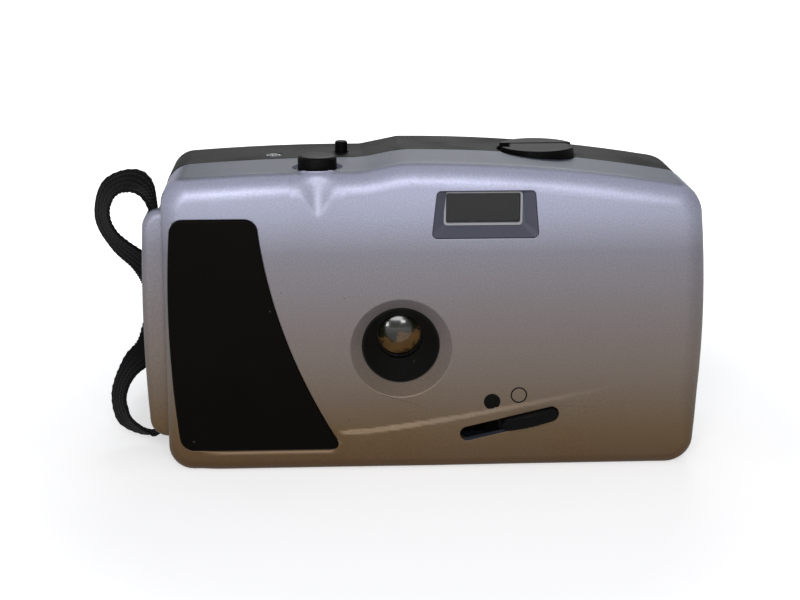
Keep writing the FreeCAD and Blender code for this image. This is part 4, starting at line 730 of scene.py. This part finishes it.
def casing_outline(inset):
    left = LEFT + inset
    right = RIGHT - inset
    low = inset
    left_top = 65.1 - inset
    right_top = 62.6 - inset
    step = (-6.0, CASE_HEIGHT - inset)
    foot = (-14.6, 66.75 - inset)
    points = [(left, low), (right, low)]
    points += arc((right, low), (right + 2.1, (low + right_top) / 2), (right, right_top), 12)
    points += arc((right, right_top), ((right + step[0]) / 2, (right_top + step[1]) / 2 + 1.5), step, 14)
    points += [foot]
    points += arc(foot, ((left + foot[0]) / 2, (left_top + foot[1]) / 2 + 0.5), (left, left_top), 8)
    corners = [
        (left, low, 5.5 - inset),
        (right, low, 5.5 - inset),
        (right, right_top, 7.5 - inset),
        (left, left_top, 5.5 - inset),
        (step[0], step[1], 2.2),
        (foot[0], foot[1], 2.2),
    ]
    return points, corners


def front_radius(x, z):
    """Rounding of the front edge: wide along the top and the right, tight on the left and below."""
    if x > 50 and z < 55:
        share = (z - 3.0) / 14.0
    else:
        share = (z - 42.0) / 14.0
    share = max(0.0, min(1.0, share))
    tight, wide = 2.8, 4.9
    return tight + (wide - tight) * share * share * (3 - 2 * share)


def casing_block(inset, front, back, rounds, steps=8):
    """Block with the case's outline whose front edge is drawn in, step by step, to its rounding."""
    points, corners = casing_outline(inset)
    piece = outline("casing", points, front, back)
    round_along_y(piece, corners)
    face = min(piece.data.polygons, key=lambda found: found.center.y)
    ring = [piece.data.vertices[index].co.copy() for index in face.vertices]
    count = len(ring)
    inward = []
    for number, here in enumerate(ring):
        along = ring[(number + 1) % count] - ring[number - 1]
        way = Vector((-along.z, 0.0, along.x)).normalized()
        if way.dot(Vector((0.0, 0.0, 31.0)) - here) < 0:
            way = -way
        inward.append(way)
    radii = [rounds(here.x, here.z) - inset for here in ring]
    editing(piece)
    now = [here.copy() for here in ring]
    for step in range(steps + 1):
        pick(piece, "FACE", lambda c, n: n.y < -0.9 and abs(c.y - front) < 8)
        if step:
            bpy.ops.mesh.extrude_region_move(TRANSFORM_OT_translate={"value": (0, 0, 0)})
        angle = math.radians(90) * step / steps
        drawn = bmesh.from_edit_mesh(piece.data)
        moved = []
        for vertex in (vertex for vertex in drawn.verts if vertex.select):
            index = min(range(count), key=lambda found: (now[found] - vertex.co).length_squared)
            place = ring[index] + inward[index] * (radii[index] * (1 - math.cos(angle)))
            place.y = front + radii[index] * (1 - math.sin(angle))
            moved.append((vertex, index, place))
        for vertex, index, place in moved:
            vertex.co = place
            now[index] = place.copy()
        bmesh.update_edit_mesh(piece.data)
    bpy.ops.mesh.select_all(action="SELECT")
    bpy.ops.mesh.normals_make_consistent(inside=False)
    done()
    return piece


def slice_faces(piece, test, axis, places):
    """Cut the faces that pass the test at each place along an axis."""
    editing(piece)
    for place in places:
        pick(piece, "FACE", test)
        co = [0.0, 0.0, 0.0]
        no = [0.0, 0.0, 0.0]
        co["xyz".index(axis)] = place
        no["xyz".index(axis)] = 1.0
        bpy.ops.mesh.bisect(plane_co=co, plane_no=no)
    done()


def dimple(piece):
    """Scoop below the shutter button: its ledge stands proud above, and it runs down to a point."""
    x0, x1 = BUTTON[0] - 7.5, BUTTON[0] + 7.5
    slice_faces(piece, lambda c, n: True, "x", (x0, x1))
    slice_faces(piece, lambda c, n: n.y < -0.9 and x0 < c.x < x1, "z", (54.0,))

    def near(c, n):
        return x0 < c.x < x1 and c.z > 54.0 and c.y < -6 and (n.y < -0.05 or n.z > 0.5)

    slice_faces(piece, near, "x", [x0 + 0.3 * step for step in range(1, 50)])
    slice_faces(piece, lambda c, n: near(c, n) and n.y < -0.9, "z",
                [54.0 + 0.4 * step for step in range(1, 20)])
    slice_faces(piece, lambda c, n: near(c, n) and n.z > 0.9, "y",
                [-15.0 + 0.5 * step for step in range(1, 8)])
    tip, shoulder = 57.5, 65.5
    reach, depth, widest = 6.0, 1.9, 5.6
    ledge_square = 36.2
    for vertex in piece.data.vertices:
        co = vertex.co
        side = abs(co.x - BUTTON[0])
        if co.z <= tip or side > reach or co.y > -15.02:
            continue
        ledge = BUTTON[1] - math.sqrt(ledge_square - side ** 2)
        if co.z > 66.55:
            co.y = min(co.y, ledge)
            continue
        share = min(1.0, (co.z - tip) / (shoulder - tip))
        half = widest * share ** 0.7
        if side < half:
            weight = math.cos(math.pi / 2 * side / half) ** 2
            wall = FRONT + depth * share
            co.y += (wall - co.y) * weight
    editing(piece)
    pick(piece, "VERT", lambda co: abs(co.x - BUTTON[0]) < reach and 56.5 < co.z < 66.4 and co.y < -15.5)
    for turn in range(4):
        bpy.ops.mesh.vertices_smooth(factor=0.5)
    bpy.ops.mesh.select_all(action="DESELECT")
    pick(piece, "FACE", lambda c, n: near(c, n) and c.y < -15.0)
    bpy.ops.mesh.quads_convert_to_tris()
    done()


def cornered(points, *radii):
    """Outline points, and the rounding of each."""
    return points, [(x, z, radius) for (x, z), radius in zip(points, radii)]


def window(left, low, right, high, radius):
    """Rectangle with four equal corners."""
    return cornered([(left, low), (right, low), (right, high), (left, high)], *[radius] * 4)


def rounded_plate(name, points, corners, front, back, segments=8):
    piece = outline(name, points, front, back)
    round_along_y(piece, corners, segments)
    return piece


def grip_points(grow):
    left, high, low = -56.6 - grow, 57.1 + grow, 5.1 - grow
    top_right, low_right = -37.4 + grow, -19.4 + grow
    waist = (-31.6 + grow, 30.6)
    points = [(left + 2.0, low), (low_right, low)]
    points += arc((low_right, low), waist, (top_right, high), 24)
    points += arc((top_right, high), ((top_right + left + 1.0) / 2, high), (left + 1.0, high), 1)
    points += arc((left + 1.0, high), (left, (low + high) / 2), (left + 2.0, low), 12)[:-1]
    corners = [(left + 2.0, low, 2.6 + grow), (low_right, low, 2.6 + grow),
               (top_right, high, 2.6 + grow), (left + 1.0, high, 2.6 + grow)]
    return points, corners


def slot_outline(length, width, shift=0.0):
    """Round-ended slot along the slider's slant."""
    points = []
    half = (length - width) / 2
    for end, start in ((half, -90), (-half, 90)):
        for step in range(17):
            angle = math.radians(start + 180 * step / 16)
            x = end + shift + width / 2 * math.cos(angle)
            z = width / 2 * math.sin(angle)
            points.append((SLIDER[0] + x * math.cos(SLIDER_SLANT) - z * math.sin(SLIDER_SLANT),
                           SLIDER[1] + x * math.sin(SLIDER_SLANT) + z * math.cos(SLIDER_SLANT)))
    return points


def crest_height(x):
    """Upper edge of the raised foot of the face, by its place across."""
    if x < -19.5:
        return 4.8 + 4.1 * max(0.0, min(1.0, (x + 21.5) / 2.0))
    run = arc((-19.5, 8.9), (2.1, 11.4), (44.0, 19.4), 16)
    before = (-19.5, 8.9)
    for after in run:
        if x <= after[0]:
            share = (x - before[0]) / (after[0] - before[0])
            return before[1] + (after[1] - before[1]) * share
        before = after
    return 19.4


def raised_foot(piece):
    """Stand the foot of the face a little proud below a soft crest that fades out to the right."""
    left, right, top = -50.6, 45.2, 21.6
    slice_faces(piece, lambda c, n: n.y < -0.9 or (n.y < -0.02 and c.z < 4), "x", (left, right))
    slice_faces(piece, lambda c, n: n.y < -0.9 and left < c.x < right, "z", (top,))

    def near(c, n):
        return left < c.x < right and c.z < top and c.y < -16 and n.y < -0.02

    slice_faces(piece, near, "x", [left + 1.5 * step for step in range(1, 64)])
    slice_faces(piece, lambda c, n: near(c, n) and n.y < -0.95, "z",
                [3.1 + 0.4 * step for step in range(46)])
    proud, slope = 0.55, 1.3
    for vertex in piece.data.vertices:
        co = vertex.co
        if co.y > -17.1 or not left < co.x < right or co.z > top - 0.1:
            continue
        share = max(0.0, min(1.0, (crest_height(co.x) + slope / 2 - co.z) / slope))
        fade = 1.0 if co.x < 2.1 else max(0.0, (44.0 - co.x) / 41.9)
        rise = max(0.0, min(1.0, (co.x - left) / 5.5))
        co.y -= proud * share * share * (3 - 2 * share) * fade * rise * (2.0 - rise)


def flange():
    """Bulged rib on the left that hides the strap's channel."""
    low, high = 5.6, 57.8
    points = [(-56.9, high), (-56.9, low), (-62.1, low)]
    points += arc((-62.1, low), (-63.0, (low + high) / 2), (-62.1, high), 12)
    piece = outline("flange", points, -13.3, SEAM)
    round_along_y(piece, [(-62.1, low, 3.8), (-62.1, high, 3.8)])
    editing(piece)
    pick(piece, "EDGE", lambda a, b: a.y < -13.2 and b.y < -13.2 and min(a.x, b.x) < -57.0)
    bpy.ops.mesh.bevel(offset=1.8, segments=6, affect="EDGES", clamp_overlap=False)
    done()
    return piece


casing = casing_block(0.0, FRONT, SEAM, front_radius)
raised_foot(casing)
dimple(casing)
boolean(casing, flange(), "UNION")
room = casing_block(WALL, FRONT + WALL, SEAM + 1.0, lambda x, z: 3.6)
boolean(room, disc("dimple_back", 10.8, (BUTTON[0], BUTTON[1], 62.0), 12.0, "z", 64, 7.0))
boolean(casing, room)
boolean(casing, disc("collar", 12.45, (LENS[0], -17.6, LENS[1]), 1.6), "UNION")
boolean(casing, spun("lens_cut", [(0.0, -20.6), (11.786, -20.6), (8.5, -17.5), (8.5, -15.0), (0.0, -15.0)],
                     (LENS[0], 0.0, LENS[1]), 96))
finder_edge = cornered([(0.1, 52.5), (23.2, 52.5), (22.2, 62.9), (1.2, 62.9)], 1.3, 1.3, 0.9, 0.9)
boolean(casing, rounded_plate("finder_hole", *finder_edge, -21.0, -17.0))
boolean(casing, rounded_plate("grip_recess", *grip_points(0.1), -22.0, -19.3))
boolean(casing, outline("slot_hole", slot_outline(22.3, 3.2), -22.0, -17.0))
boolean(casing, disc("button_ring", 5.4, (BUTTON[0], BUTTON[1], 67.35), 3.0, "z"))
boolean(casing, disc("button_hole", 4.45, (BUTTON[0], BUTTON[1], 66.0), 8.0, "z"))
boolean(casing, disc("knob_well", 8.9, (24.9, 2.0, 70.1), 8.0, "z"))
boolean(casing, block("strap_channel", (-61.0, -10.4, 1.6), (-58.75, 0.0, 61.8)))
for x, y in ((-44.0, -8.0), (36.0, -9.0)):
    boolean(casing, disc("screw_seat", 2.1, (x, y, 0.1), 2.2, "z", 48))
editing(casing)
bpy.ops.mesh.select_all(action="SELECT")
bpy.ops.mesh.dissolve_limited(angle_limit=math.radians(0.4))
done()
bevel_by_angle(casing, 0.2, 2, 32.0)
settle(casing, SILVER_PAINTED_LIGHT, "case", 35.0)
casing.name = "front_casing"
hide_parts("front_shell")

# Grip panel

grip = rounded_plate("grip_pad", *grip_points(0.0), -20.4, -19.3)
bevel_by_angle(grip, 0.3, 3, 32.0)
settle(grip, GRIP_BLACK, "case", 35.0)
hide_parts("grip_panel")

# Moulded parts that keep their solid's shape, with their edges rounded as a mould leaves them


def softened(name, finish, body, width, angle=35.0):
    """Copy of a CAD node, merged and with its sharp edges rounded, that stands for the node."""
    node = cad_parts[name]
    piece = bpy.data.objects.new(name + "_moulded", node.data.copy())
    scene.collection.objects.link(piece)
    for vertex in piece.data.vertices:
        vertex.co /= MM
    editing(piece)
    bpy.ops.mesh.select_all(action="SELECT")
    bpy.ops.mesh.remove_doubles(threshold=0.002)
    bpy.ops.mesh.dissolve_limited(angle_limit=math.radians(0.3))
    done()
    bevel_by_angle(piece, width, 2, angle)
    settle(piece, finish, body, angle)
    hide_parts(name)
    return piece


softened("shutter_button", BUTTON_BLACK, "button", 0.22)
softened("rewind_knob", BUTTON_BLACK, "rewind", 0.15)
softened("rewind_crank", BUTTON_BLACK, "crank", 0.15)
softened("door_latch", BUTTON_BLACK, "latch", 0.15)
softened("back_door", CASE_BLACK, "door", 0.2)
softened("top_cover", CASE_BLACK, "case", 0.15)

# Slider's grip, which swells out of the slot with ridges across its middle


def slider_grip():
    length, width, shift = 12.5, 2.9, 4.75
    swell_front, swell_depth = -20.9, 0.95
    ridge_depth, ridge_step, ridged = 0.16, 1.25, 0.36
    piece = outline("slider_grip", slot_outline(length, width, shift), -21.0, -20.1)
    slice_faces(piece, lambda c, n: True, "x", [SLIDER[0] + 0.4 * step for step in range(-6, 32)])
    run, climb = math.cos(SLIDER_SLANT), math.sin(SLIDER_SLANT)
    middle = (SLIDER[0] + shift * run, SLIDER[1] + shift * climb)
    half = length / 2
    for vertex in piece.data.vertices:
        co = vertex.co
        if co.y < -20.5:
            along = ((co.x - middle[0]) * run + (co.z - middle[1]) * climb) / half
            swell = max(0.0, 1 - along ** 2)
            co.y = swell_front - swell_depth * swell
            if abs(along) < ridged:
                co.y -= ridge_depth * (0.5 + 0.5 * math.cos(along * half * 2 * math.pi / ridge_step))
    bevel_by_angle(piece, 0.3, 3, 50.0)
    return piece


knob = slider_grip()
settle(knob, BUTTON_BLACK, "slider", 35.0)

# Lens: baffle with fine rings, ring with a low bead, domed front glass


def baffle_profile():
    """Baffle wall, cut with fine rings that narrow from the mouth to the throat."""
    mouth, throat = (8.1, -17.4), (5.0, -10.7)
    rings = 15
    profile = []
    for ring in range(rings):
        for share, sink in ((0.0, 0.0), (0.62, 0.0), (0.70, 0.16), (0.92, 0.16)):
            t = (ring + share) / rings
            radius = mouth[0] + (throat[0] - mouth[0]) * t + sink
            profile.append((radius, mouth[1] + (throat[1] - mouth[1]) * t))
    profile.append((5.0, -10.8))
    profile.append((5.06, -10.7))
    profile += [(5.3, -10.7), (8.45, -15.9), (10.75, -15.9), (10.8, -15.95), (10.8, -16.75), (10.75, -16.8),
                (8.45, -16.8), (8.45, -17.3), (8.38, -17.4)]
    return profile


def dome_profile(radius, edge, tip, back):
    """Front glass: a dome from its tip to its edge, and a flat back."""
    top = math.asin(edge / radius)
    profile = []
    for step in range(15):
        angle = top * step / 14
        profile.append((radius * math.sin(angle), tip + radius * (1 - math.cos(angle))))
    return profile + [(edge, back), (0.0, back)]


baffle = spun("lens_baffle", baffle_profile(), (LENS[0], 0.0, LENS[1]), 128)
settle(baffle, INNER_BLACK, "case", 30.0)
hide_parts("lens_funnel")

lip = spun("lens_ring", [(4.8, -9.4), (4.8, -9.58), (4.84, -9.64), (4.92, -9.66), (5.0, -9.64), (5.04, -9.6),
                         (6.3, -9.6), (6.3, -9.4)], (LENS[0], 0.0, LENS[1]), 96)
settle(lip, RING_BLACK, "case", 40.0)
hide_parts("lens_retainer")

glass = spun("front_glass", dome_profile(11.0, 4.78, -9.3, -7.52), (LENS[0], 0.0, LENS[1]), 96)
settle(glass, LENS_GLASS_PAINTED_REFLECTION, "case", 40.0)
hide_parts("lens_front_element")

# Viewfinder: sloped bezel, light rim round the window, amber tab under the roof

bezel_edge = cornered([(0.2, 52.6), (23.1, 52.6), (22.1, 62.8), (1.3, 62.8)], 1.2, 1.2, 0.8, 0.8)
slope = rounded_plate("finder_slope", *bezel_edge, -19.95, -17.55)
for vertex in slope.data.vertices:
    co = vertex.co
    front = co.y < -18
    co.x = 11.65 + (co.x - 11.65) * (1.04 if front else 0.77)
    co.z = 57.7 + (co.z - 57.7) * (1.05 if front else 0.74) + (0.0 if front else 0.95)
bezel = rounded_plate("finder_bezel", *bezel_edge, -19.9, -16.9)
boolean(bezel, slope)
boolean(bezel, rounded_plate("window_hole", *window(3.2, 55.4, 19.3, 62.0, 0.5), -21.0, -16.0, 4))
settle(bezel, BEZEL_GREY, "case", 30.0)
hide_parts("viewfinder_bezel")

rim = rounded_plate("finder_rim", *window(2.75, 54.9, 19.75, 62.3, 0.8), -17.85, -16.95, 5)
boolean(rim, rounded_plate("rim_hole", *window(3.25, 55.45, 19.25, 61.95, 0.45), -19.0, -16.0, 4))
bevel_by_angle(rim, 0.12, 3, 32.0)
settle(rim, RIM_GREY, "case", 30.0)

tab = block("finder_tab", (8.2, -15.3, 60.9), (11.3, -15.0, 62.6))
bevel_by_angle(tab, 0.06, 2, 32.0)
settle(tab, AMBER, "case", 30.0)

# Printed marks above the slider: a filled dot and an open ring

dot = spun("full_view_mark", [(0.0, -19.98), (0.0, -20.03), (1.78, -20.03), (1.83, -20.02), (1.83, -19.98)],
           (13.6, 0.0, 15.5), 64)
settle(dot, INK, "case", 40.0)
circle = spun("wide_view_mark", [(1.53, -19.98), (1.53, -20.02), (1.55, -20.03), (1.81, -20.03),
                                 (1.83, -20.02), (1.83, -19.98)], (19.5, 0.0, 16.95), 64)
settle(circle, INK, "case", 40.0)


# Floor, backdrop and light


def seen_white(tree):
    """1 for rays from the camera and through glass; reflections show the backdrop more faintly."""
    path = tree.nodes.new("ShaderNodeLightPath")
    mirrored = sums(tree, "MULTIPLY", path.outputs["Is Glossy Ray"], 0.35)
    seen = sums(tree, "MAXIMUM", path.outputs["Is Camera Ray"], mirrored)
    return sums(tree, "MAXIMUM", seen, path.outputs["Is Transmission Ray"])


def plain_backdrop():
    """Pale floor that shades near the object and shows as plain white away from it."""
    material = bpy.data.materials.new("pale_floor")
    material.use_nodes = True
    tree = material.node_tree
    shader = tree.nodes["Principled BSDF"]
    shader.inputs["Base Color"].default_value = (0.86, 0.86, 0.86, 1.0)
    shader.inputs["Roughness"].default_value = 0.9
    shader.inputs["Specular IOR Level"].default_value = 0.0
    white = tree.nodes.new("ShaderNodeEmission")
    place = tree.nodes.new("ShaderNodeTexCoord")
    far = tree.nodes.new("ShaderNodeVectorMath")
    far.operation = "LENGTH"
    tree.links.new(place.outputs["Object"], far.inputs[0])
    fade = ranged(tree, far.outputs["Value"], 0.08, 0.20, 0.50, 1.0, smooth=True)
    tree.links.new(sums(tree, "MULTIPLY", fade, seen_white(tree)), white.inputs["Strength"])
    blend = tree.nodes.new("ShaderNodeAddShader")
    tree.links.new(shader.outputs[0], blend.inputs[0])
    tree.links.new(white.outputs[0], blend.inputs[1])
    tree.links.new(blend.outputs[0], tree.nodes["Material Output"].inputs["Surface"])
    return material


bpy.ops.object.select_all(action="DESELECT")
bpy.ops.mesh.primitive_plane_add(size=4.0, location=(0.0, 0.0, 0.0))
floor = bpy.context.object
floor.name = "floor"
floor.data.materials.append(plain_backdrop())

world = bpy.data.worlds.new("studio")
world.use_nodes = True
sky = world.node_tree
sky.nodes["Background"].inputs["Color"].default_value = (0.93, 0.95, 1.0, 1.0)
sky.nodes["Background"].inputs["Strength"].default_value = 0.27
white_sky = sky.nodes.new("ShaderNodeBackground")
white_sky.inputs["Color"].default_value = (1.0, 1.0, 1.0, 1.0)
white_sky.inputs["Strength"].default_value = 1.0
sky_blend = sky.nodes.new("ShaderNodeMixShader")
sky.links.new(seen_white(sky), sky_blend.inputs[0])
sky.links.new(sky.nodes["Background"].outputs[0], sky_blend.inputs[1])
sky.links.new(white_sky.outputs[0], sky_blend.inputs[2])
sky.links.new(sky_blend.outputs[0], sky.nodes["World Output"].inputs["Surface"])
scene.world = world


def soft_light(name, place, aim, width, height, power, colour=(1.0, 1.0, 1.0)):
    data = bpy.data.lights.new(name, "AREA")
    data.shape = "RECTANGLE"
    data.size = width
    data.size_y = height
    data.energy = power
    data.color = colour
    lamp = bpy.data.objects.new(name, data)
    lamp.location = place
    lamp.rotation_euler = (Vector(aim) - Vector(place)).to_track_quat("-Z", "Y").to_euler()
    scene.collection.objects.link(lamp)
    return lamp


CASE_MIDDLE = (0.0, 0.0, 0.03)
LENS_FACE = (-0.0064, -0.01, 0.028)
soft_light("main", (-0.08, -0.85, 0.44), CASE_MIDDLE, 0.5, 0.3, 4.2, (0.99, 0.985, 1.0))
soft_light("rear_fill", (0.1, 0.8, 0.6), CASE_MIDDLE, 0.5, 0.3, 2.0)
soft_light("left_pane", (-0.33, -0.65, 0.116), LENS_FACE, 0.07, 0.12, 0.5)
soft_light("right_pane", (0.14, -0.70, 0.20), LENS_FACE, 0.11, 0.07, 0.4)
